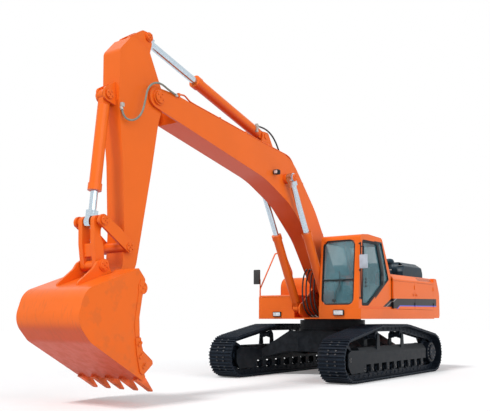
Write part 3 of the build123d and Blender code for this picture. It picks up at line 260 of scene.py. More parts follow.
def enamel(name, striped=False, worn=0.0, cab=""):
    """Gloss enamel on steel, with a painted highlight along its edges, painted shade on faces that look down, a little
    road film low down and an orange-peel skin.
    """
    f = Finish(name)
    base = tuple(colours().enamel)
    cloud = f.noise(0.9, 3).ramp(0.3, 0.7)
    colour = f.blend(cloud, shadow_of(base, 0.93), base)
    soft = f.soft_normal(sizes().edge)
    edge = f.edge(soft)
    # Painted highlight: edges blended towards a lighter orange.
    colour = f.blend(edge * 0.30, colour, (0.95, 0.22, 0.05))
    # Painted shade: faces that look down are blended towards a deep brownish red.
    down = f.upward().ramp(-0.85, -0.15, 1.0, 0.0)
    colour = f.blend(down * 0.75, colour, (0.52, 0.035, 0.012))
    film = f.z.ramp(0.2, 1.7, 0.16, 0.0) * f.noise(7, 4).ramp(0.35, 0.7)
    colour = f.blend(film, colour, (0.30, 0.15, 0.08))
    rough = 0.30 + 0.10 * f.noise(14, 3) + film
    if worn:
        scrape = f.noise(5, 5, (1, 6, 1)).ramp(0.52, 0.66) * worn
        colour = f.blend(scrape, colour, (0.26, 0.10, 0.045))
        rough = rough + 0.2 * scrape
    if striped:
        x, z = f.x - SWING_X, f.z
        outside = (f.y.size() > 1.43) * (1 - (f.y < 0) * (x > -0.16))
        front = x < 0.402 - 2.346 * (z - 1.511)
        foot = x.ramp(-0.519, -0.321, 1.0, 0.0) * 0.076 + 1.516 - 0.0089 * (x + 0.519) * (x < -0.519)
        band = outside * front * (z > foot) * (z < 1.739 - 0.01725 * (x + 0.133)) * (x > -2.76)
        line = outside * front * (z > foot - 0.024) * (z < foot) * (x > -2.76) * (x < -0.33)
        slant = x - (0.402 - 2.346 * (z - 1.511))
        # Painted highlight: a lighter grey diagonal strip inside the black band, parallel to its slanted front.
        stripe_highlight = band * (slant > -0.20) * (slant < -0.145)
        colour = f.blend(band, colour, (0.010, 0.010, 0.012))
        colour = f.blend(line, colour, tuple(colours().stripe))
        colour = f.blend(stripe_highlight, colour, (0.30, 0.27, 0.27))
        # Louvre slots along the sloped edge, drawn as dark bars: painted shade standing in for the slot openings.
        slope = (z > 2.205) * (z < 2.285) * (x > -2.50) * (x < -1.60) * (f.y.size() > 1.36)
        colour = f.blend(slope * ((x * 16).fraction() < 0.5), colour, shadow_of(base, 0.10))
    if cab == "front":
        rim = f.outside_window(*WINDSCREEN)
        colour = f.blend((rim < 0.022) * (f.x > SWING_X + 1.2), colour, SEAL)
    if cab == "side":
        x, z = f.x - SWING_X, f.z
        pillar = (x > 0.4135 * (z - 2.160) - 0.012) * (z > 2.152 - 0.6275 * x) * (x < 0.7) * (z < 2.978) * (f.y > 1.39)
        colour = f.blend(pillar, colour, SEAL)
    if cab == "floor":
        x = f.x - SWING_X
        mat = (x > -0.09) * (x < 1.44) * (f.y > 0.545) * (f.y < 1.405)
        colour = f.blend(mat, colour, (0.03, 0.032, 0.034))
    skin = f.bump(f.noise(160, 2), 0.0006, 0.25, soft)
    return f.shade(base_color=colour, roughness=rough, coat_weight=0.04, coat_roughness=0.10,
                   specular_ior_level=0.20, normal=skin)


def black_paint(name, colour=None, dust=0.25, gloss=0.40):
    """Satin black, dusty on top, with a painted bluish-grey highlight along its edges."""
    f = Finish(name)
    base = tuple(colour or colours().black)
    soft = f.soft_normal(sizes().edge)
    up = f.upward().ramp(0.3, 1.0)
    speckle = f.noise(9, 5).ramp(0.35, 0.75)
    tint = f.blend(speckle * 0.6, base, tuple(2.2 * c for c in base))
    # Painted highlight: edges blended towards a bluish grey.
    tint = f.blend(f.edge(soft) * 0.5, tint, (0.06, 0.10, 0.13))
    tint = f.blend((up * 0.7 + 0.15) * speckle * dust, tint, (0.16, 0.15, 0.14))
    rough = gloss + 0.18 * speckle + 0.15 * up * dust
    return f.shade(base_color=tint, roughness=rough, specular_ior_level=0.12,
                   normal=f.bump(f.noise(70, 3), 0.001, 0.3, soft))


def track_steel(name):
    """Dark rolled steel, polished on its running edges, which also carry a painted bluish highlight, with patches of
    dry dust.
    """
    f = Finish(name)
    soft = f.soft_normal(0.005)
    speckle = f.noise(11, 6).ramp(0.3, 0.75)
    tint = f.blend(speckle * 0.5, (0.007, 0.010, 0.016), (0.020, 0.028, 0.042))
    worn = f.edge(soft)
    # Painted highlight: edges blended towards a bluish grey; the lower roughness there stands for real polish.
    tint = f.blend(worn * 0.45, tint, (0.06, 0.115, 0.18))
    tint = f.blend(f.noise(4, 5).ramp(0.55, 0.8) * 0.12, tint, (0.10, 0.085, 0.07))
    rough = 0.42 + 0.2 * speckle - 0.12 * worn
    return f.shade(base_color=tint, roughness=rough, metallic=0.2, specular_ior_level=0.14,
                   normal=f.bump(f.noise(55, 4), 0.0015, 0.4, soft))


def chrome(name):
    """Ground and polished rod with faint rings and an oil film; its bluish tint and lighter and darker bands are a
    painted reflection.
    """
    f = Finish(name)
    rings = f.noise(30, 2, (1, 1, 12))
    # Painted reflection: a bluish tint, lighter and darker in bands from the ring noise; the same noise also gives the
    # rings in roughness and bump.
    tint = f.blend(rings.ramp(0.35, 0.7), (0.42, 0.52, 0.60), (0.70, 0.78, 0.84))
    return f.shade(base_color=tint, metallic=1.0, roughness=0.14 + 0.10 * rings,
                   normal=f.bump(rings, 0.0003, 0.2, f.soft_normal(0.003)))


def glass(name, tint, share):
    """Tinted pane with a little dust. Seal and enamel are painted over the windscreen's square corners."""
    f = Finish(name)
    dust = f.noise(3, 4).ramp(0.4, 0.8)
    colour = f.blend(dust * 0.20, tuple(tint), (0.40, 0.55, 0.58))
    rim, front = f.outside_window(*WINDSCREEN), (f.x > SWING_X + 1.28) * (f.y < 1.36)
    colour = f.blend(front * (rim > -0.014), colour, SEAL)
    colour = f.blend(front * (rim > 0.016), colour, tuple(colours().enamel))
    haze = f.noise(0.8, 2).ramp(0.45, 0.6)
    colour = f.blend(haze * 0.35 * (rim < -0.014), colour, (0.20, 0.42, 0.48))
    clear = f.sum("MAXIMUM", share + 0.10 * dust + 0.12 * haze, front * (rim > -0.014))
    return f.shade(base_color=colour, roughness=0.04 + 0.05 * dust, alpha=clear, specular_ior_level=0.8)


def rubber(name, colour, rib=0.0):
    """Hose cover with its fine wrap, speckled lighter with dust."""
    f = Finish(name)
    wrap = (f.x * rib + f.z * rib).fraction() if rib else f.noise(90, 3)
    speckle = f.noise(25, 3).ramp(0.3, 0.7)
    tint = f.blend(speckle * 0.5, tuple(colour), tuple(1.8 * c + 0.02 for c in colour))
    return f.shade(base_color=tint, roughness=0.50 + 0.15 * speckle, normal=f.bump(wrap, 0.0015, 0.5))


def plastic(name, colour, grain=260):
    """Moulded plastic with a leathery grain."""
    f = Finish(name)
    grainy = f.wire("TexVoronoi", {}, {"Vector": f.place, "Scale": grain})
    wear = f.noise(6, 3).ramp(0.35, 0.7)
    tint = f.blend(wear * 0.5, tuple(colour), tuple(1.5 * c + 0.005 for c in colour))
    return f.shade(base_color=tint, roughness=0.48 + 0.12 * wear,
                   normal=f.bump(grainy, 0.0006, 0.4, f.soft_normal(0.004)))


def cloth(name, colour):
    """Woven seat cover."""
    f = Finish(name)
    weave = f.wire("TexWave", {"wave_type": "BANDS", "bands_direction": "DIAGONAL"},
                   {"Vector": f.place, "Scale": 220.0})
    across = f.wire("TexWave", {"wave_type": "BANDS", "bands_direction": "Y"}, {"Vector": f.place, "Scale": 260.0})
    pile = f.noise(35, 3).ramp(0.3, 0.7)
    tint = f.blend(pile, tuple(colour), tuple(1.9 * c + 0.01 for c in colour))
    return f.shade(base_color=tint, roughness=0.85 + 0.1 * pile, normal=f.bump(weave + across, 0.0008, 0.6))


def casting(name, colour, rough=0.55):
    """Sand-cast surface, browner where it has been rubbed."""
    f = Finish(name)
    soft = f.soft_normal(0.006)
    pits = f.noise(45, 5)
    tint = f.blend(f.noise(6, 4).ramp(0.35, 0.7), tuple(colour), tuple(1.6 * c + 0.01 for c in colour))
    tint = f.blend(f.edge(soft) * 0.5, tint, (0.30, 0.27, 0.25))
    return f.shade(base_color=tint, metallic=0.3, roughness=rough + 0.15 * pits, normal=f.bump(pits, 0.003, 0.5, soft))


def lens(name):
    """Ribbed lamp glass over a bright reflector."""
    f = Finish(name)
    ribs = (f.y * 90).fraction()
    spot = f.noise(20, 2).ramp(0.35, 0.7)
    tint = f.blend(spot, (0.55, 0.58, 0.60), (0.86, 0.88, 0.90))
    return f.shade(base_color=tint, roughness=0.10 + 0.1 * spot, metallic=0.25, coat_weight=0.6,
                   normal=f.bump(ribs, 0.002, 0.5))


def mirror_glass(name):
    f = Finish(name)
    haze = f.noise(8, 3).ramp(0.35, 0.7)
    tint = f.blend(haze, (0.62, 0.68, 0.72), (0.74, 0.79, 0.82))
    return f.shade(base_color=tint, metallic=1.0, roughness=0.03 + 0.05 * haze)


def floor_finish(name):
    """Pale matt floor: white to the camera but for the shadow that lies on it."""
    f = Finish(name)
    grain = f.noise(3, 3).ramp(0.3, 0.7)
    tint = f.blend(grain, (0.86, 0.86, 0.86), (0.88, 0.88, 0.88))
    lit = f.wire("BsdfDiffuse", {}, {"Color": tint})
    glow = f.wire("Emission", {}, {"Color": (1, 1, 1, 1), "Strength": 0.16})
    both = f.wire("AddShader", {}, {0: lit, 1: glow})
    surface = f.wire("MixShader", {}, {0: f.seen(), 1: lit, 2: both})
    f.node("OutputMaterial", {}, {"Surface": surface})
    return f.material


FINISHES = {}


def make_finishes():
    c = colours()
    FINISHES.update({
        "enamel": enamel("gloss enamel"),
        "housing": enamel("gloss enamel with stripes", striped=True),
        "cab front": enamel("cab front enamel", cab="front"),
        "cab side": enamel("cab side enamel", striped=True, cab="side"),
        "cab floor": enamel("cab floor", cab="floor"),
        "pale": plastic("pale housing", (0.36, 0.40, 0.46)),
        "worn enamel": enamel("scraped enamel", worn=0.14),
        "black": black_paint("satin black"),
        # Its bluish tint is a painted reflection, shared by the pre-cleaner cap and the hood fittings.
        "hood black with painted blue reflection": black_paint("hood black with painted blue reflection", (0.008, 0.022, 0.034), 0.08, 0.30),
        "track": track_steel("track steel"),
        "chrome": chrome("chromed rod"),
        "glass": glass("tinted glass", c.glass, 0.36),
        "hose": rubber("black hose", (0.012, 0.012, 0.013)),
        "wrapped hose": rubber("wrapped hose", (0.16, 0.17, 0.14), 90),
        "fitting": casting("plated fitting", (0.34, 0.33, 0.30), 0.35),
        "trim": plastic("cab trim", (0.045, 0.052, 0.055)),
        "grip": plastic("grips", (0.015, 0.015, 0.016), 420),
        "cloth": cloth("seat cloth", (0.035, 0.05, 0.05)),
        "casting": casting("casting", (0.06, 0.06, 0.065)),
        "teeth": casting("bucket teeth", (0.62, 0.11, 0.022)),
        "lens": lens("lamp lens"),
        "mirror": mirror_glass("mirror glass"),
        "bolt": casting("bolt heads", (0.035, 0.036, 0.04), 0.4),
    })


# ---- shaping
def primitive(kind, name, **place):
    """Adds a primitive and goes into edit mode with nothing selected."""
    if bpy.context.object and bpy.context.object.mode == "EDIT":
        bpy.ops.object.mode_set(mode="OBJECT")
    bpy.ops.object.select_all(action="DESELECT")
    getattr(bpy.ops.mesh, f"primitive_{kind}_add")(**place)
    piece = bpy.context.object
    piece.name = piece.data.name = name
    bpy.ops.object.transform_apply(location=True, rotation=True, scale=True)
    bpy.ops.object.mode_set(mode="EDIT")
    bpy.ops.mesh.select_mode(type="FACE")
    bpy.ops.mesh.select_all(action="DESELECT")
    return piece


def select_faces():
    bpy.ops.mesh.select_all(action="SELECT")


def turn_out():
    """Makes every normal of the piece look outwards."""
    select_faces()
    bpy.ops.mesh.normals_make_consistent(inside=False)


def pick(piece, test):
    """Selects the faces whose (centre, normal) pass the test."""
    bpy.ops.mesh.select_all(action="DESELECT")
    mesh = bmesh.from_edit_mesh(piece.data)
    chosen = [face for face in mesh.faces if test(face.calc_center_median(), face.normal)]
    for face in chosen:
        face.select_set(True)
    bmesh.update_edit_mesh(piece.data)
    if not chosen:
        raise RuntimeError(f"no face of {piece.name} was picked")


def leave(piece):
    if piece.mode == "EDIT":
        bpy.ops.object.mode_set(mode="OBJECT")
    return piece


def soften(piece, width, segments=2):
    """Rounds a piece's sharp edges."""
    leave(piece)
    bevel = piece.modifiers.new("round", "BEVEL")
    bevel.width, bevel.segments, bevel.limit_method = width, segments, "ANGLE"
    bpy.ops.object.modifier_apply(modifier=bevel.name)


def copies(master, places, name):
    """Copies of a piece made about the origin with its axis up, each at (point, direction, turn)."""
    leave(master)
    made = []
    for point, direction, turn in places:
        copy = master.copy()
        copy.data = master.data.copy()
        aim = Vector((0, 0, 1)).rotation_difference(Vector(direction)).to_matrix().to_4x4()
        copy.data.transform(Matrix.Translation(point) @ aim @ Matrix.Rotation(turn, 4, "Z"))
        bpy.context.scene.collection.objects.link(copy)
        made.append(copy)
    bpy.data.objects.remove(master)
    return united(made, name)


def united(pieces, name):
    """Several pieces as one object."""
    bpy.ops.object.select_all(action="DESELECT")
    for piece in pieces:
        piece.select_set(True)
    bpy.context.view_layer.objects.active = pieces[0]
    if len(pieces) > 1:
        bpy.ops.object.join()
    whole = bpy.context.object
    whole.name = whole.data.name = name
    return whole


def ready(piece, body, finish, angle=35):
    """Gives a finished piece its smoothing, finish and body."""
    leave(piece)
    bpy.ops.object.select_all(action="DESELECT")
    piece.select_set(True)
    bpy.context.view_layer.objects.active = piece
    bpy.ops.object.shade_smooth_by_angle(angle=radians(angle))
    piece.data.materials.clear()
    piece.data.materials.append(FINISHES[finish])
    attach(piece, body)
    return piece


def hex_bolt(across):
    """Bolt head on its washer, about the origin."""
    washer = primitive("cylinder", "washer", vertices=14, radius=0.62 * across, depth=0.10 * across,
                       location=(0, 0, 0.05 * across))
    pick(washer, lambda centre, normal: normal.z > 0.9)
    bpy.ops.mesh.bevel(offset=0.03 * across, segments=1)
    leave(washer)
    head = primitive("cylinder", "head", vertices=6, radius=0.5 * across, depth=0.36 * across,
                     location=(0, 0, 0.26 * across))
    pick(head, lambda centre, normal: normal.z > 0.9)
    bpy.ops.mesh.inset(thickness=0.05 * across)
    bpy.ops.transform.translate(value=(0, 0, 0.05 * across))
    leave(head)
    return united([washer, head], "bolt")


def plain_bolt(across):
    """Bolt head of few faces, about the origin."""
    head = primitive("cylinder", "bolt", vertices=6, radius=0.5 * across, depth=0.016, location=(0, 0, 0.008))
    pick(head, lambda centre, normal: normal.z > 0.9)
    bpy.ops.mesh.inset(thickness=0.14 * across)
    bpy.ops.transform.translate(value=(0, 0, 0.003))
    return leave(head)


def ring_of(centre, axis, radius, count, start=0.0):
    """Places of bolts round a centre, on a cross axis."""
    places = []
    for i in range(count):
        turn = start + 2 * pi * i / count
        spot = Vector(centre) + Vector((radius * cos(turn), 0, radius * sin(turn)))
        places.append((spot, axis, turn))
    return places


class Step:
    """What every operator here shares."""

    bl_options = {"REGISTER", "UNDO"}

    def execute(self, context):
        self.build()
        return {"FINISHED"}


# ---- finishes of the frame
PAINTS = (
    ("housing", ("counterweight", "machine_room_frame", "left_front_door", "left_rear_door", "right_side_door",
                 "fuel_tank", "hydraulic_tank")),
    ("cab front", ("cab_front_frame",)),
    ("cab side", ("cab_left_side",)),
    ("cab floor", ("cab_floor",)),
    ("worn enamel", ("bucket",)),
    ("hood black with painted blue reflection", ("engine_hood",)),
    ("black", ("carbody", "track_frame_left", "track_frame_right", "slewing_ring_outer", "slewing_ring_inner",
               "swing_motor", "travel_motor_left", "travel_motor_right", "cab_door")),
    ("track", ("track_left", "track_right", "track_rollers_left", "track_rollers_right", "idler_left", "idler_right",
               "sprocket_left", "sprocket_right")),
    ("chrome", ("boom_cylinder_rods", "arm_cylinder_rod", "bucket_cylinder_rod")),
    ("glass", ("cab_windows", "cab_door_glass")),
    ("trim", ("consoles",)),
    ("casting", ("engine_block",)),
    ("teeth", ("bucket_teeth",)),
)


class EXCAVATOR_OT_paint(Step, bpy.types.Operator):
    """Paint every node of the frame"""

    bl_idname, bl_label = "excavator.paint", "Paint the frame"

    def build(self):
        make_finishes()
        chosen = {node: finish for finish, names in PAINTS for node in names}
        for name, node in NODES.items():
            node.data.materials.clear()
            node.data.materials.append(FINISHES[chosen.get(name, "enamel")])


# ---- undercarriage
TRACK_Y, SHOES = 1375, 52
WRAPS = ((-2150, 464, 430), (2125, 464, 430), (760, 430, 700), (-500, 430, 700))   # x, z, radius under the shoes


def chain_points():
    """Where each shoe of the chain begins, evenly spaced along a belt round the wraps."""
    leaves, runs = [], []
    for (x0, z0, r0), (x1, z1, r1) in zip(WRAPS, WRAPS[1:] + WRAPS[:1]):
        leaves.append(atan2(z1 - z0, x1 - x0) - pi / 2 + asin((r0 - r1) / hypot(x1 - x0, z1 - z0)))
    for i, (x, z, r) in enumerate(WRAPS):
        nx, nz, nr = WRAPS[(i + 1) % len(WRAPS)]
        start, end = leaves[i - 1], leaves[i]
        turn = (end - start) % (2 * pi)
        runs.append((r * turn, lambda s, x=x, z=z, r=r, start=start:
                     (x + r * cos(start + s / r), z + r * sin(start + s / r))))
        a, b = (x + r * cos(end), z + r * sin(end)), (nx + nr * cos(end), nz + nr * sin(end))
        span = hypot(b[0] - a[0], b[1] - a[1])
        runs.append((span, lambda s, a=a, b=b, n=span: (a[0] + (b[0] - a[0]) * s / n, a[1] + (b[1] - a[1]) * s / n)))
    pitch, points, done = sum(run[0] for run in runs) / SHOES, [], 0.0
    for length, place in runs:
        while len(points) < SHOES and len(points) * pitch < done + length - 1e-6:
            points.append(place(len(points) * pitch - done))
        done += length
    return points


class EXCAVATOR_OT_shoe_bolts(Step, bpy.types.Operator):
    """Bolts that hold the shoes to the chain, four to a shoe"""

    bl_idname, bl_label = "excavator.shoe_bolts", "Shoe bolts"

    def build(self):
        line = chain_points()
        for side, y in (("left", TRACK_Y), ("right", -TRACK_Y)):
            places = []
            for (x0, z0), (x1, z1) in zip(line, line[1:] + line[:1]):
                along = Vector((x1 - x0, 0, z1 - z0)).normalized()
                out = Vector((along.z, 0, -along.x))
                for share in (0.32, 0.68):
                    for across in (-85, 85):
                        x, z = x0 + (x1 - x0) * share, z0 + (z1 - z0) * share
                        places.append((at(x, y + across, z) + out * 0.0005, out, 0.4 * share))
            bolts = copies(plain_bolt(sizes().shoe_bolt), places, f"shoe_bolts_{side}")
            ready(bolts, "undercarriage", "bolt")


class EXCAVATOR_OT_chain_pins(Step, bpy.types.Operator):
    """Ends of the pins that join the chain's links"""

    bl_idname, bl_label = "excavator.chain_pins", "Chain pins"

    def build(self):
        line = chain_points()
        for side, y in (("left", TRACK_Y), ("right", -TRACK_Y)):
            places = []
            for i, (x, z) in enumerate(line):
                before, after = line[i - 1], line[(i + 1) % len(line)]
                along = Vector((after[0] - before[0], 0, after[1] - before[1])).normalized()
                inward = Vector((-along.z, 0, along.x)) * 0.068
                for face in (-1, 1):
                    places.append((at(x, y + face * 107.5, z) + inward, (0, face, 0), 0))
            pin = primitive("cylinder", "pin", vertices=12, radius=0.031, depth=0.010, location=(0, 0, 0.005))
            pick(pin, lambda centre, normal: normal.z > 0.9)
            bpy.ops.mesh.inset(thickness=0.007)
            bpy.ops.transform.translate(value=(0, 0, -0.004))
            ready(copies(pin, places, f"chain_pins_{side}"), "undercarriage", "track")


class EXCAVATOR_OT_wheel_bolts(Step, bpy.types.Operator):
    """Bolts of the sprockets, their drives, the idlers and the rollers"""

    bl_idname, bl_label = "excavator.wheel_bolts", "Wheel bolts"

    def build(self):
        for side, s in (("left", 1), ("right", -1)):
            places = ring_of(at(-2150, s * 1570, 464), (0, s, 0), 0.211, 16)
            places += ring_of(at(-2150, s * 1610, 464), (0, s, 0), 0.120, 8)
            places += ring_of(at(2125, s * 1575, 464), (0, s, 0), 0.030, 3)
            for i in range(9):
                places += ring_of(at(-1560 + 382.5 * i, s * 1563, 239.3), (0, s, 0), 0.021, 2, i)
            ready(copies(hex_bolt(sizes().bolt), places, f"wheel_bolts_{side}"), "undercarriage", "bolt")


# ---- tubes, plates and boxes
def spline(points, name, straight=None):
    """A smooth curve through a route's runs. straight keeps the runs true up to that far from a corner."""
    route = [points[0]]
    for before, corner, after in zip(points, points[1:], points[2:]):
        if straight:
            back, ahead = before - corner, after - corner
            route.append(corner + back.normalized() * min(straight, 0.45 * back.length))
            route.append(corner)
            route.append(corner + ahead.normalized() * min(straight, 0.45 * ahead.length))
        else:
            route.append(corner)
    route.append(points[-1])
    data = bpy.data.curves.new(name, "CURVE")
    data.dimensions = "3D"
    line = data.splines.new("NURBS")
    line.points.add(len(route) - 1)
    for point, place in zip(line.points, route):
        point.co = (*place, 1)
    line.order_u = 3
    line.use_endpoint_u = True
    line.resolution_u = 6
    piece = bpy.data.objects.new(name, data)
    bpy.context.scene.collection.objects.link(piece)
    return piece


def tube(points, radius, name, straight=None, around=3):
    """A tube along a route, closed at its ends, and the points of its centre line."""
    if bpy.context.object and bpy.context.object.mode == "EDIT":
        bpy.ops.object.mode_set(mode="OBJECT")
    bpy.ops.object.select_all(action="DESELECT")
    piece = spline(points, name, straight)
    bare = bpy.data.meshes.new_from_object(piece)
    centre = [vertex.co.copy() for vertex in bare.vertices]
    bpy.data.meshes.remove(bare)
    piece.data.bevel_depth, piece.data.bevel_resolution, piece.data.use_fill_caps = radius, around, True
    piece.select_set(True)
    bpy.context.view_layer.objects.active = piece
    bpy.ops.object.convert(target="MESH")
    bpy.ops.object.mode_set(mode="EDIT")
    select_faces()
    bpy.ops.mesh.remove_doubles(threshold=0.00001)
    bpy.ops.mesh.normals_make_consistent(inside=False)
    bpy.ops.object.mode_set(mode="OBJECT")
    return bpy.context.object, centre


def plate(outline, y, thick, name, bevel=0.003):
    """A flat plate standing across y: outline holds (x, z) in millimetres and thick may be negative."""
    middle = at(sum(p[0] for p in outline) / len(outline), y, sum(p[1] for p in outline) / len(outline))
    piece = primitive("circle", name, vertices=len(outline), radius=0.1, fill_type="NGON", location=middle,
                      rotation=(pi / 2, 0, 0))
    mesh = bmesh.from_edit_mesh(piece.data)
    bpy.ops.mesh.select_mode(type="VERT")
    count = range(len(outline))
    order = sorted(count, key=lambda i: atan2(mesh_point(mesh, i).z - middle.z, mesh_point(mesh, i).x - middle.x))
    ring = sorted(count, key=lambda i: atan2(outline[i][1] / 1000 - middle.z,
                                             outline[i][0] / 1000 + SWING_X - middle.x))
    first = ring[0]
    turn = 1 if area_of(outline) > 0 else -1
    for step, index in enumerate(order):
        target = outline[(first + turn * step) % len(outline)]
        bpy.ops.mesh.select_all(action="DESELECT")
        mesh = bmesh.from_edit_mesh(piece.data)
        mesh.verts.ensure_lookup_table()
        vertex = mesh.verts[index]
        vertex.select_set(True)
        move = at(target[0], y, target[1]) - vertex.co
        bpy.ops.transform.translate(value=move)
    bpy.ops.mesh.select_mode(type="FACE")
    select_faces()
    bpy.ops.mesh.extrude_region_move(TRANSFORM_OT_translate={"value": (0, thick / 1000, 0)})
    turn_out()
    if bevel:
        soften(piece, bevel)
    return leave(piece)


def mesh_point(mesh, index):
    mesh.verts.ensure_lookup_table()
    return mesh.verts[index].co


def area_of(outline):
    return sum(a[0] * b[1] - b[0] * a[1] for a, b in zip(outline, outline[1:] + outline[:1]))


def case(low, high, name, bevel=0.006, open_face=None, rim=0.008, depth=0.012):
    """A box between two corners in millimetres, rounded, with one face recessed where open_face picks it."""
    a, b = at(*low), at(*high)
    piece = primitive("cube", name, size=1, location=(a + b) / 2)
    select_faces()
    bpy.ops.transform.resize(value=b - a, center_override=(a + b) / 2)
    soften(piece, bevel)
    if open_face:
        bpy.ops.object.mode_set(mode="EDIT")
        bpy.ops.mesh.select_mode(type="FACE")
        flat = Vector(open_face)
        mesh = bmesh.from_edit_mesh(piece.data)
        facing = [face for face in mesh.faces if face.normal.dot(flat) > 0.99]
        largest = max(facing, key=lambda face: face.calc_area()).calc_center_median()
        pick(piece, lambda centre, normal: normal.dot(flat) > 0.99 and (centre - largest).length < 1e-5)
        bpy.ops.mesh.inset(thickness=rim)
        bpy.ops.transform.translate(value=flat * -depth)
    return leave(piece)


def stub(start, end, radius, name, vertices=16, chamfer=0.003):
    """A short round bar between two points, chamfered at both ends."""
    start, end = Vector(start), Vector(end)
    length = (end - start).length
    piece = primitive("cylinder", name, vertices=vertices, radius=radius, depth=length, location=(0, 0, length / 2))
    pick(piece, lambda centre, normal: abs(normal.z) > 0.9)
    bpy.ops.mesh.bevel(offset=min(chamfer, 0.3 * radius), segments=1)
    leave(piece)
    aim = Vector((0, 0, 1)).rotation_difference(end - start).to_matrix().to_4x4()
    piece.data.transform(Matrix.Translation(start) @ aim)
    return piece


# ---- house
class EXCAVATOR_OT_handrail(Step, bpy.types.Operator):
    """Rail beside the tool box, with the right mirror on its post"""

    bl_idname, bl_label = "excavator.handrail", "Handrail and right mirror"

    def build(self):
        y = -1525
        line = [(800, 1610), (800, 2000), (140, 2900), (-290, 2950), (-640, 2480), (-640, 2040)]
        rail, _ = tube([at(x, y, z) for x, z in line], 0.017, "rail", 0.09, 4)
        pieces = [rail, stub(at(800, y, 1985), at(800, y, 2230), 0.013, "post")]
        for x, z, wall in ((800, 1650, -1496), (800, 1740, -1496), (-640, 2080, -1433)):
            pieces.append(stub(at(x, y, z), at(x, wall, z), 0.012, "foot"))
            pieces.append(stub(at(x, wall - 8, z), at(x, wall, z), 0.034, "flange"))
        ready(united(pieces, "handrail"), "upperstructure", "enamel")
        mirror("right_mirror", 816, -1587, 2110, 170, 350, 60, at(800, y, 2225), at(846, -1587, 2300), "upperstructure")


def mirror(name, x, y, z, width, height, depth, start, end, body, finish="grip"):
    """Housing with its glass set in the rear face, on an arm."""
    housing = case((x, y - width / 2, z), (x + depth, y + width / 2, z + height), "housing",
                   0.016, (-1, 0, 0), 0.010, 0.006)
    arm = stub(start, end, 0.010, "arm")
    ready(united([housing, arm], name), body, finish)
    pane = case((x + 3, y - width / 2 + 14, z + 14), (x + 6, y + width / 2 - 14, z + height - 14),
                f"{name}_glass", 0.001)
    ready(pane, body, "mirror")


class EXCAVATOR_OT_cab_rail(Step, bpy.types.Operator):
    """Grab rail on the cab's front corner and the left mirror"""

    bl_idname, bl_label = "excavator.cab_rail", "Cab rail and left mirror"

    def build(self):
        x, y = 1428, 1484
        pieces = [tube([at(x, y, 1690), at(x, y, 2890)], 0.013, "rail", None, 4)[0]]
        for z in (1720, 2300, 2860):
            pieces += [stub(at(x, 1451, z), at(x, y, z), 0.009, "foot"),
                       stub(at(x, 1450.3, z), at(x, 1456, z), 0.024, "flange")]
        line = [(x, y, 2760), (x + 60, y + 30, 2790), (x + 60, y + 100, 2790), (x + 60, y + 100, 2600)]
        pieces.append(tube([at(*p) for p in line], 0.010, "arm", 0.03, 3)[0])
        ready(united(pieces, "cab_grab_rail"), "upperstructure", "black")
        mirror("left_mirror", x + 20, y + 90, 2330, 176, 290, 60, at(x + 60, y + 100, 2640),
               at(x + 50, y + 95, 2610), "upperstructure", "pale")


class EXCAVATOR_OT_pre_cleaner(Step, bpy.types.Operator):
    """Air intake: a stem on the machine room's roof under a mushroom cap"""

    bl_idname, bl_label = "excavator.pre_cleaner", "Air pre-cleaner"

    def build(self):
        profile = [(0, 0.3), (110, 0.3), (110, 14), (58, 22), (58, 330), (70, 345),
                   (118, 352), (124, 400), (96, 452), (40, 470), (0, 470)]
        foot = at(-1475, 800, 2300)
        piece = primitive("circle", "pre_cleaner_cap", vertices=36, radius=0.110, fill_type="NGON", location=foot)
        select_faces()
        radius = 110.0
        for (r, z), (_, low) in zip(profile[2:-1], profile[1:-2]):
            bpy.ops.mesh.extrude_region_move(TRANSFORM_OT_translate={"value": (0, 0, (z - low) / 1000)})
            bpy.ops.transform.resize(value=(r / radius, r / radius, 1), center_override=foot)
            radius = r
        turn_out()
        ready(piece, "upperstructure", "hood black with painted blue reflection")
        band = primitive("cylinder", "pre_cleaner_band", vertices=36, radius=0.061, depth=0.018,
                         location=foot + Vector((0, 0, 0.19)))
        pick(band, lambda centre, normal: abs(normal.z) > 0.9)
        bpy.ops.mesh.bevel(offset=0.004, segments=1)
        ready(band, "upperstructure", "fitting")


class EXCAVATOR_OT_lamps(Step, bpy.types.Operator):
    """Lamps at the front of the deck and on the boom"""

    bl_idname, bl_label = "excavator.lamps", "Work lamps"

    def build(self):
        for name, x, y, z, wide, high, deep, body in (
                ("cab_lamp", 1526, 985, 1415, 250, 120, 45, "upperstructure"),
                ("tool_box_lamp", 946, -960, 1390, 220, 110, 49, "upperstructure"),
                ("boom_lamp", 2890, 318, 4285, 110, 96, 110, "boom")):
            shell = case((x - deep, y - wide / 2, z - high / 2), (x, y + wide / 2, z + high / 2), name,
                         0.012, (1, 0, 0))
            parts = [shell]
            if body == "boom":
                parts.append(case((2800, 240, 4262), (2850, 266, 4308), "bracket", 0.004))
            ready(united(parts, name), body, "black")
            pane = case((x - 10, y - wide / 2 + 9, z - high / 2 + 9), (x - 4, y + wide / 2 - 9, z + high / 2 - 9),
                        f"{name}_lens", 0.002)
            ready(pane, body, "lens")


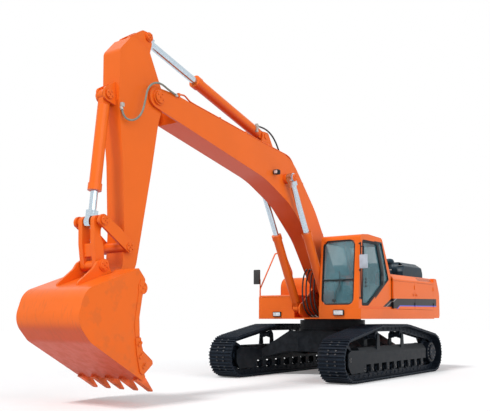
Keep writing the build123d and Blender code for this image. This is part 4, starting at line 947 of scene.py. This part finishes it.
class EXCAVATOR_OT_latches(Step, bpy.types.Operator):
    """Handles and locks of the side doors, the tool box and the cab door"""

    bl_idname, bl_label = "excavator.latches", "Latches"

    def build(self):
        for name, x, y, z, body in (("front_door_latch", -1300, 1511, 1850, "left_front_door"),
                                    ("rear_door_latch", -1485, 1511, 1850, "left_rear_door"),
                                    ("right_door_latch", -1650, -1511, 1850, "right_side_door")):
            out = 1 if y > 0 else -1
            right, left = sorted((y, y + out * 5))
            cup = case((x - 42, right, z - 28), (x + 42, left, z + 28), name, 0.004, (0, out, 0), 0.010, 0.003)
            lock = stub(at(x + 14, y + out * 2, z), at(x + 14, y + out * 7, z), 0.011, "lock")
            ready(united([cup, lock], name), body, "enamel")
        for x in (300, 640):
            bracket = case((x - 18, -1496 - 14, 1772), (x + 18, -1496, 1812), f"tool_box_catch_{x}", 0.004)
            ready(bracket, "upperstructure", "grip")
        line = [(1466, 2140), (1492, 2140), (1492, 1960), (1466, 1960)]
        grip = tube([at(1215, y, z) for y, z in line], 0.010, "cab_door_handle", 0.02)[0]
        lock = stub(at(1215, 1465, 2050), at(1215, 1474, 2050), 0.016, "lock")
        ready(united([grip, lock], "cab_door_handle"), "cab_door", "grip")


class EXCAVATOR_OT_hood_fittings(Step, bpy.types.Operator):
    """End panels, handles and tail pipe of the engine hood"""

    bl_idname, bl_label = "excavator.hood_fittings", "Hood fittings"

    def build(self):
        panels = []
        for low, high in (((-1645, 2452), (-1789, 2688)), ((-2893, 2452), (-2770, 2688))):
            for z0, z1, half in ((2452, 2584, 1070), (2584, 2688, 924)):
                a, b = ((z - low[1]) / (high[1] - low[1]) for z in (z0, z1))
                x0, x1 = (low[0] + t * (high[0] - low[0]) for t in (a, b))
                outline = [(x0 - 6, z0), (x0 + 6, z0), (x1 + 6, z1), (x1 - 6, z1)]
                panels.append(plate(outline, -half, 2 * half, "panel", 0.001))
        ready(united(panels, "hood_end_panels"), "engine_hood", "hood black with painted blue reflection")
        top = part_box("engine_hood")[1].z * 1000
        pieces = []
        for side in (-1, 1):
            line = [(700, -2), (700, 50), (420, 50), (420, -2)]
            pieces.append(tube([at(-1900, side * y, top + z) for y, z in line], 0.012, "grip", 0.025)[0])
        ready(united(pieces, "hood_handles"), "engine_hood", "hood black with painted blue reflection")
        line = [(-2330, -6), (-2330, 120), (-2470, 190)]
        pipe, _ = tube([at(x, -760, top + z) for x, z in line], 0.060, "tail_pipe", 0.06, 6)
        ready(pipe, "engine_hood", "casting")


# ---- cab
class EXCAVATOR_OT_seat(Step, bpy.types.Operator):
    """Seat on its base, with a crowned cushion and back"""

    bl_idname, bl_label = "excavator.seat", "Seat"

    def build(self):
        base = case((310, 775, 1552), (750, 1175, 1822), "seat_base", 0.03)
        ready(base, "upperstructure", "trim")
        for name, low, high, tilt, fill in (("seat_cushion", (262, 730, 1826), (800, 1220, 1960), 0, 0.7),
                                            ("seat_back", (170, 735, 1975), (300, 1215, 2440), -0.13, 0.7),
                                            ("seat_head_rest", (150, 850, 2452), (235, 1100, 2545), -0.10, 0.8)):
            a, b = at(*low), at(*high)
            pad = primitive("cube", name, size=1, location=(a + b) / 2)
            select_faces()
            bpy.ops.transform.resize(value=b - a, center_override=(a + b) / 2)
            bpy.ops.mesh.bevel(offset=0.035, segments=2)
            bpy.ops.mesh.subdivide(number_cuts=2)
            thin = 2 if name == "seat_cushion" else 0
            middle = (a + b) / 2
            mesh = bmesh.from_edit_mesh(pad.data)
            spans = [max(1e-6, (b - a)[axis] / 2) for axis in range(3)]
            others = [axis for axis in range(3) if axis != thin]
            for vertex in mesh.verts:
                off = vertex.co - middle
                share = [min(1, abs(off[axis]) / spans[axis]) for axis in others]
                crown = (1 - share[0] ** 2) * (1 - share[1] ** 2)
                off[thin] *= 0.80 + 0.20 * crown
                channel = 1 - min(1, abs(abs(share[1] if thin == 2 else share[0]) - 0.62) / 0.06)
                off[thin] *= 1 - 0.07 * max(0, channel)
                vertex.co = middle + off
            bmesh.update_edit_mesh(pad.data)
            select_faces()
            bpy.ops.transform.rotate(value=-tilt, orient_axis="Y", center_override=(middle.x, middle.y, a.z))
            leave(pad)
            smooth = pad.modifiers.new("smooth", "SUBSURF")
            smooth.levels = smooth.render_levels = 1
            bpy.ops.object.modifier_apply(modifier=smooth.name)
            ready(pad, "upperstructure", "cloth", 80)
            if name == "seat_cushion":
                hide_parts("operator_seat")


class EXCAVATOR_OT_controls(Step, bpy.types.Operator):
    """Grips on the levers, and the monitor"""

    bl_idname, bl_label = "excavator.controls", "Controls"

    def build(self):
        for name, y in (("left_grip", 1315), ("right_grip", 635)):
            grip = stub(at(818, y, 2210), at(835, y, 2345), 0.030, name, 16, 0.010)
            gaiter = stub(at(765, y, 2050), at(790, y, 2130), 0.060, "gaiter", 18, 0.02)
            ready(united([grip, gaiter], name), "upperstructure", "grip")
        monitor = case((1120, 600, 2080), (1165, 850, 2260), "monitor", 0.012, (-1, 0, 0), 0.012, 0.004)
        arm = stub(at(1150, 700, 1560), at(1150, 700, 2085), 0.018, "arm")
        ready(united([monitor, arm], "monitor"), "upperstructure", "grip")


class EXCAVATOR_OT_wiper(Step, bpy.types.Operator):
    """Wiper parked on the front window"""

    bl_idname, bl_label = "excavator.wiper", "Wiper"

    def build(self):
        motor = case((1476, 820, 1650), (1490, 900, 1700), "motor", 0.006)
        arm, _ = tube([at(1484, 860, 1675), at(1483, 980, 1960), at(1475, 1010, 2130)], 0.007, "arm", 0.05)
        blade = case((1472, 1004, 1860), (1480, 1016, 2290), "blade", 0.002)
        ready(united([motor, arm, blade], "front_wiper"), "upperstructure", "grip")


# ---- hydraulics
class EXCAVATOR_OT_boom_pipes(Step, bpy.types.Operator):
    """Pipes along the top of the boom, in their clamps"""

    bl_idname, bl_label = "excavator.boom_pipes", "Boom pipes"

    def build(self):
        pieces, clamps = [], []
        for side in (-1, 1):
            outer = [(345, 2546, 185), (1149, 3725, 185), (2141, 4753, 185), (3196, 4865, 185),
                     (5420, 5125, 185), (5640, 5178, 240), (5800, 5150, 262), (5850, 5132, 262)]
            inner = [(345, 2546, 129), (1149, 3725, 129), (2141, 4753, 129), (2395, 4779, 129)]
            for line, soft in ((outer, 0.30), (inner, 0.12)):
                pieces.append(tube([at(x, side * y, z) for x, z, y in line], 0.015, "pipe", soft)[0])
            for y in (185, 129):
                pieces.append(stub(at(345, side * y, 2546), at(372, side * y, 2518), 0.026, "elbow"))
            for run, share, low in ((0, 0.1, 129), (0, 0.55, 129), (1, 0.5, 129), (2, 0.8, 185),
                                    (3, 0.25, 185), (3, 0.62, 185)):
                (x0, z0), (x1, z1) = outer[run][:2], outer[run + 1][:2]
                x, z = x0 + (x1 - x0) * share, z0 + (z1 - z0) * share
                length = hypot(x1 - x0, z1 - z0)
                ux, uz = (x1 - x0) / length, (z1 - z0) / length
                right, left = between(side, low - 26, 211)
                clamp = case((-22, right, -39), (22, left, 19), "clamp", 0.004)
                clamp.data.transform(Matrix.Translation(at(x, 0, z)) @ Matrix.Rotation(-atan2(uz, ux), 4, "Y")
                                     @ Matrix.Translation(-at(0, 0, 0)))
                clamps.append(clamp)
            right, left = between(side, 240, 288)
            clamps.append(case((5800, right, 5098), (5842, left, 5166), "end_clamp", 0.005))
        ready(united(pieces, "boom_pipes"), "boom", "enamel")
        ready(united(clamps, "pipe_clamps"), "boom", "enamel")


HOSES = (   # name, y, first body, second body, finish, then (x, z) along the route and how far the row closes in there
    ("arm_hose", (-330, 330), "boom", "arm", "wrapped hose",
     ((5900, 5120, -68), (6110, 5150, -45), (6320, 5185), (6500, 5160), (6650, 5025), (6700, 4800), (6765, 4580),
      (6895, 4440, -10), (7010, 4410, -50), (7085, 4470, -95), (7098, 4570, -115))),
    ("arm_cylinder_hose", (-129, 129), "boom", "arm_cylinder_tube", "hose",
     ((2440, 4772), (2500, 4862), (2580, 4970), (2695, 5075), (2850, 5155), (3030, 5198, -10), (3190, 5196, -21))),
    ("boom_foot_hose", (-150, -55, 55, 150), "upperstructure", "boom", "hose",
     ((700, 1335), (810, 1360), (930, 1430), (1025, 1540), (1085, 1690), (1105, 1860), (1095, 2030),
      (1065, 2180), (1010, 2310), (930, 2385))),
)


class EXCAVATOR_OT_hoses(Step, bpy.types.Operator):
    """Hoses across the boom's foot, to the arm cylinder and to the arm, with their end fittings"""

    bl_idname, bl_label = "excavator.hoses", "Hoses"

    def build(self):
        nuts = {}
        for name, rows, first, second, finish, line in HOSES:
            for i, y in enumerate(rows):
                route = [at(x, y * (1 + (shift[0] if shift else 0) / abs(y)), z) for x, z, *shift in line]
                hose, centre = tube(route, sizes().hose / 2, f"{name}_{i + 1}", None, 3)
                hose.data.materials.clear()
                hose.data.materials.append(FINISHES[finish])
                for polygon in hose.data.polygons:
                    polygon.use_smooth = True
                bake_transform(hose)
                for body, here, inner in ((first, route[0], route[1]), (second, route[-1], route[-2])):
                    away = (here - inner).normalized()
                    nut = stub(here + away * 0.001, here + away * 0.060, 0.026, "nut", 6, 0.004)
                    nuts.setdefault(body, []).append(nut)
        for body, pieces in nuts.items():
            if body == "upperstructure":
                pieces.append(case((610, -200, 1311), (690, 200, 1372), "manifold", 0.008))
            if body == "arm":
                for side in (-1, 1):
                    low, high = between(side, 190, 242)
                    pieces.append(case((7068, low, 4622), (7126, high, 4690), "port", 0.008))
            if body == "arm_cylinder_tube":
                for side in (-1, 1):
                    low, high = between(side, 90, 146)
                    pieces.append(case((3245, low, 5060), (3290, high, 5235), "port", 0.008))
            ready(united(pieces, f"{body}_fittings"), body, "fitting")


# ---- boom, arm and bucket
PIN_CAPS = (   # x, z, radius, node that the cap lies on, body
    (6300, 4970, 104, "arm", "arm"), (2400, 4220, 78, "boom_cylinder_rods", "boom_cylinder_rods"),
    (930, 1530, 80, "boom_cylinder_tubes", "boom_cylinder_tubes"), (7070, 1750, 96, "bucket", "bucket"),
    (7500, 2760, 72, "guide_links", "guide_links"), (6950, 2400, 72, "guide_links", "guide_links"),
    (7450, 2090, 80, "bucket", "bucket"), (6420, 6000, 66, "arm", "arm"), (7270, 4800, 78, "arm", "arm"),
)


def face_of(node, x, z, reach):
    """How far out a node's side faces stand near a pin."""
    near = [abs(v.co.y) for v in NODES[node].data.vertices
            if hypot(v.co.x - SWING_X - x / 1000, v.co.z - z / 1000) < reach]
    return max(near) * 1000 if near else None


class EXCAVATOR_OT_pin_caps(Step, bpy.types.Operator):
    """Caps of the pins, each with its bolts"""

    bl_idname, bl_label = "excavator.pin_caps", "Pin caps"

    def build(self):
        for x, z, radius, node, body in PIN_CAPS:
            face = face_of(node, x, z, radius / 1000 + 0.02)
            if face is None:
                raise RuntimeError(f"no face for a pin cap on {node} at {x}, {z}")
            pieces, places = [], []
            for side in (-1, 1):
                out = (0, side, 0)
                top = at(x, side * (face + 13), z)
                pieces.append(stub(at(x, side * (face - 1), z), top, radius / 1000, "cap", 32, 0.004))
                places += ring_of(top, out, 0.68 * radius / 1000, 4, 0.6)
                places.append((top, out, 0))
            pieces.append(copies(hex_bolt(sizes().bolt * 0.85), places, "bolts"))
            ready(united(pieces, f"pin_cap_{x}_{z}"), body, "enamel")


class EXCAVATOR_OT_bucket_plates(Step, bpy.types.Operator):
    """Side cutters with their bolts, and doublers along the bucket's mouth"""

    bl_idname, bl_label = "excavator.bucket_plates", "Bucket plates"

    def build(self):
        cutter = [(7110, 1010), (7088, 880), (7062, 810), (6860, 655), (6850, 600), (7040, 455),
                  (7085, 462), (7120, 500), (7190, 780), (7205, 900), (7215, 1000)]
        edge = [(7032, 1850), (7060, 1710), (7095, 1560), (7140, 1330), (7125, 1020), (7215, 1020),
                (7235, 1200), (7205, 1420), (7160, 1660), (7120, 1870)]
        pieces, places = [], []
        for side in (-1, 1):
            pieces.append(plate(cutter, side * 690, side * 22, "cutter", 0.004))
            pieces.append(plate(edge, side * 690, side * 10, "doubler", 0.003))
            for x, z in ((7125, 930), (7160, 905), (7095, 745), (7130, 720), (7020, 600), (7055, 565)):
                places.append((at(x, side * 712, z), (0, side, 0), 0.3))
        ready(united(pieces, "side_cutters"), "bucket", "worn enamel")
        ready(copies(hex_bolt(0.052), places, "cutter_bolts"), "bucket", "worn enamel")


# ---- stage
class EXCAVATOR_OT_stage(Step, bpy.types.Operator):
    """Floor, backdrop light, lamps and camera"""

    bl_idname, bl_label = "excavator.stage", "Stage"

    def build(self):
        floor = primitive("circle", "floor", vertices=64, radius=60, fill_type="NGON", location=(0, 0, -0.004))
        select_faces()
        bpy.ops.mesh.inset(thickness=30)
        leave(floor)
        floor.data.materials.append(floor_finish("studio floor"))
        world = bpy.data.worlds.new("studio")
        bpy.context.scene.world = world
        world.use_nodes = True
        maths = Maths(world.node_tree)
        plain = maths.wire("Background", {}, {"Color": (0.93, 0.96, 1.0, 1), "Strength": 0.38})
        white = maths.wire("Background", {}, {"Color": (1, 1, 1, 1), "Strength": 1.0})
        maths.node("OutputWorld", {}, {"Surface": maths.wire("MixShader", {}, {0: maths.seen(), 1: plain, 2: white})})
        for name, towards, strength, spread in (("key", (0.59, -0.10, 0.80), 1.9, 12),
                                                ("fill", (0.25, 0.90, 0.36), 1.45, 60)):
            bpy.ops.object.light_add(type="SUN", location=(0, 0, 12))
            lamp = bpy.context.object
            lamp.name = name
            lamp.rotation_euler = Vector(towards).to_track_quat("Z", "Y").to_euler()
            lamp.data.energy, lamp.data.angle = strength, radians(spread)
        yaw, tip = radians(-144.214), radians(5.169)
        look = Vector((cos(tip) * cos(yaw), cos(tip) * sin(yaw), sin(tip)))
        bpy.ops.object.camera_add(location=(SWING_X + 14.7660, 8.2117, 1.2916),
                                  rotation=look.to_track_quat("-Z", "Y").to_euler())
        camera = bpy.context.object
        camera.data.sensor_width, camera.data.lens = 36, 51.892
        camera.data.shift_x, camera.data.shift_y = -0.0082, 0.10
        camera.data.clip_end = 200
        bpy.context.scene.camera = camera
        bpy.context.scene.view_settings.view_transform = "Standard"


STEPS = (
    EXCAVATOR_OT_paint, EXCAVATOR_OT_shoe_bolts, EXCAVATOR_OT_chain_pins, EXCAVATOR_OT_wheel_bolts,
    EXCAVATOR_OT_handrail, EXCAVATOR_OT_cab_rail, EXCAVATOR_OT_pre_cleaner, EXCAVATOR_OT_lamps,
    EXCAVATOR_OT_latches, EXCAVATOR_OT_hood_fittings, EXCAVATOR_OT_seat, EXCAVATOR_OT_controls,
    EXCAVATOR_OT_wiper, EXCAVATOR_OT_boom_pipes, EXCAVATOR_OT_hoses, EXCAVATOR_OT_pin_caps,
    EXCAVATOR_OT_bucket_plates, EXCAVATOR_OT_stage,
)


class EXCAVATOR_PT_steps(bpy.types.Panel):
    """Steps of the finish, in order"""

    bl_idname, bl_label = "EXCAVATOR_PT_steps", "Excavator finish"
    bl_space_type, bl_region_type, bl_category = "VIEW_3D", "UI", "Excavator"

    def draw(self, context):
        for group in (context.scene.excavator_sizes, context.scene.excavator_colours):
            for name in group.bl_rna.properties.keys():
                if name not in ("rna_type", "name"):
                    self.layout.prop(group, name)
        for step in STEPS:
            self.layout.operator(step.bl_idname)


CLASSES = (ExcavatorSizes, ExcavatorColours, *STEPS, EXCAVATOR_PT_steps)


def register():
    for kind in CLASSES:
        bpy.utils.register_class(kind)
    bpy.types.Scene.excavator_sizes = bpy.props.PointerProperty(type=ExcavatorSizes)
    bpy.types.Scene.excavator_colours = bpy.props.PointerProperty(type=ExcavatorColours)


def unregister():
    del bpy.types.Scene.excavator_sizes, bpy.types.Scene.excavator_colours
    for kind in reversed(CLASSES):
        bpy.utils.unregister_class(kind)


def main():
    register()
    for step in STEPS:
        getattr(bpy.ops.excavator, step.bl_idname.split(".")[1])()


if __name__ == "__main__":
    main()
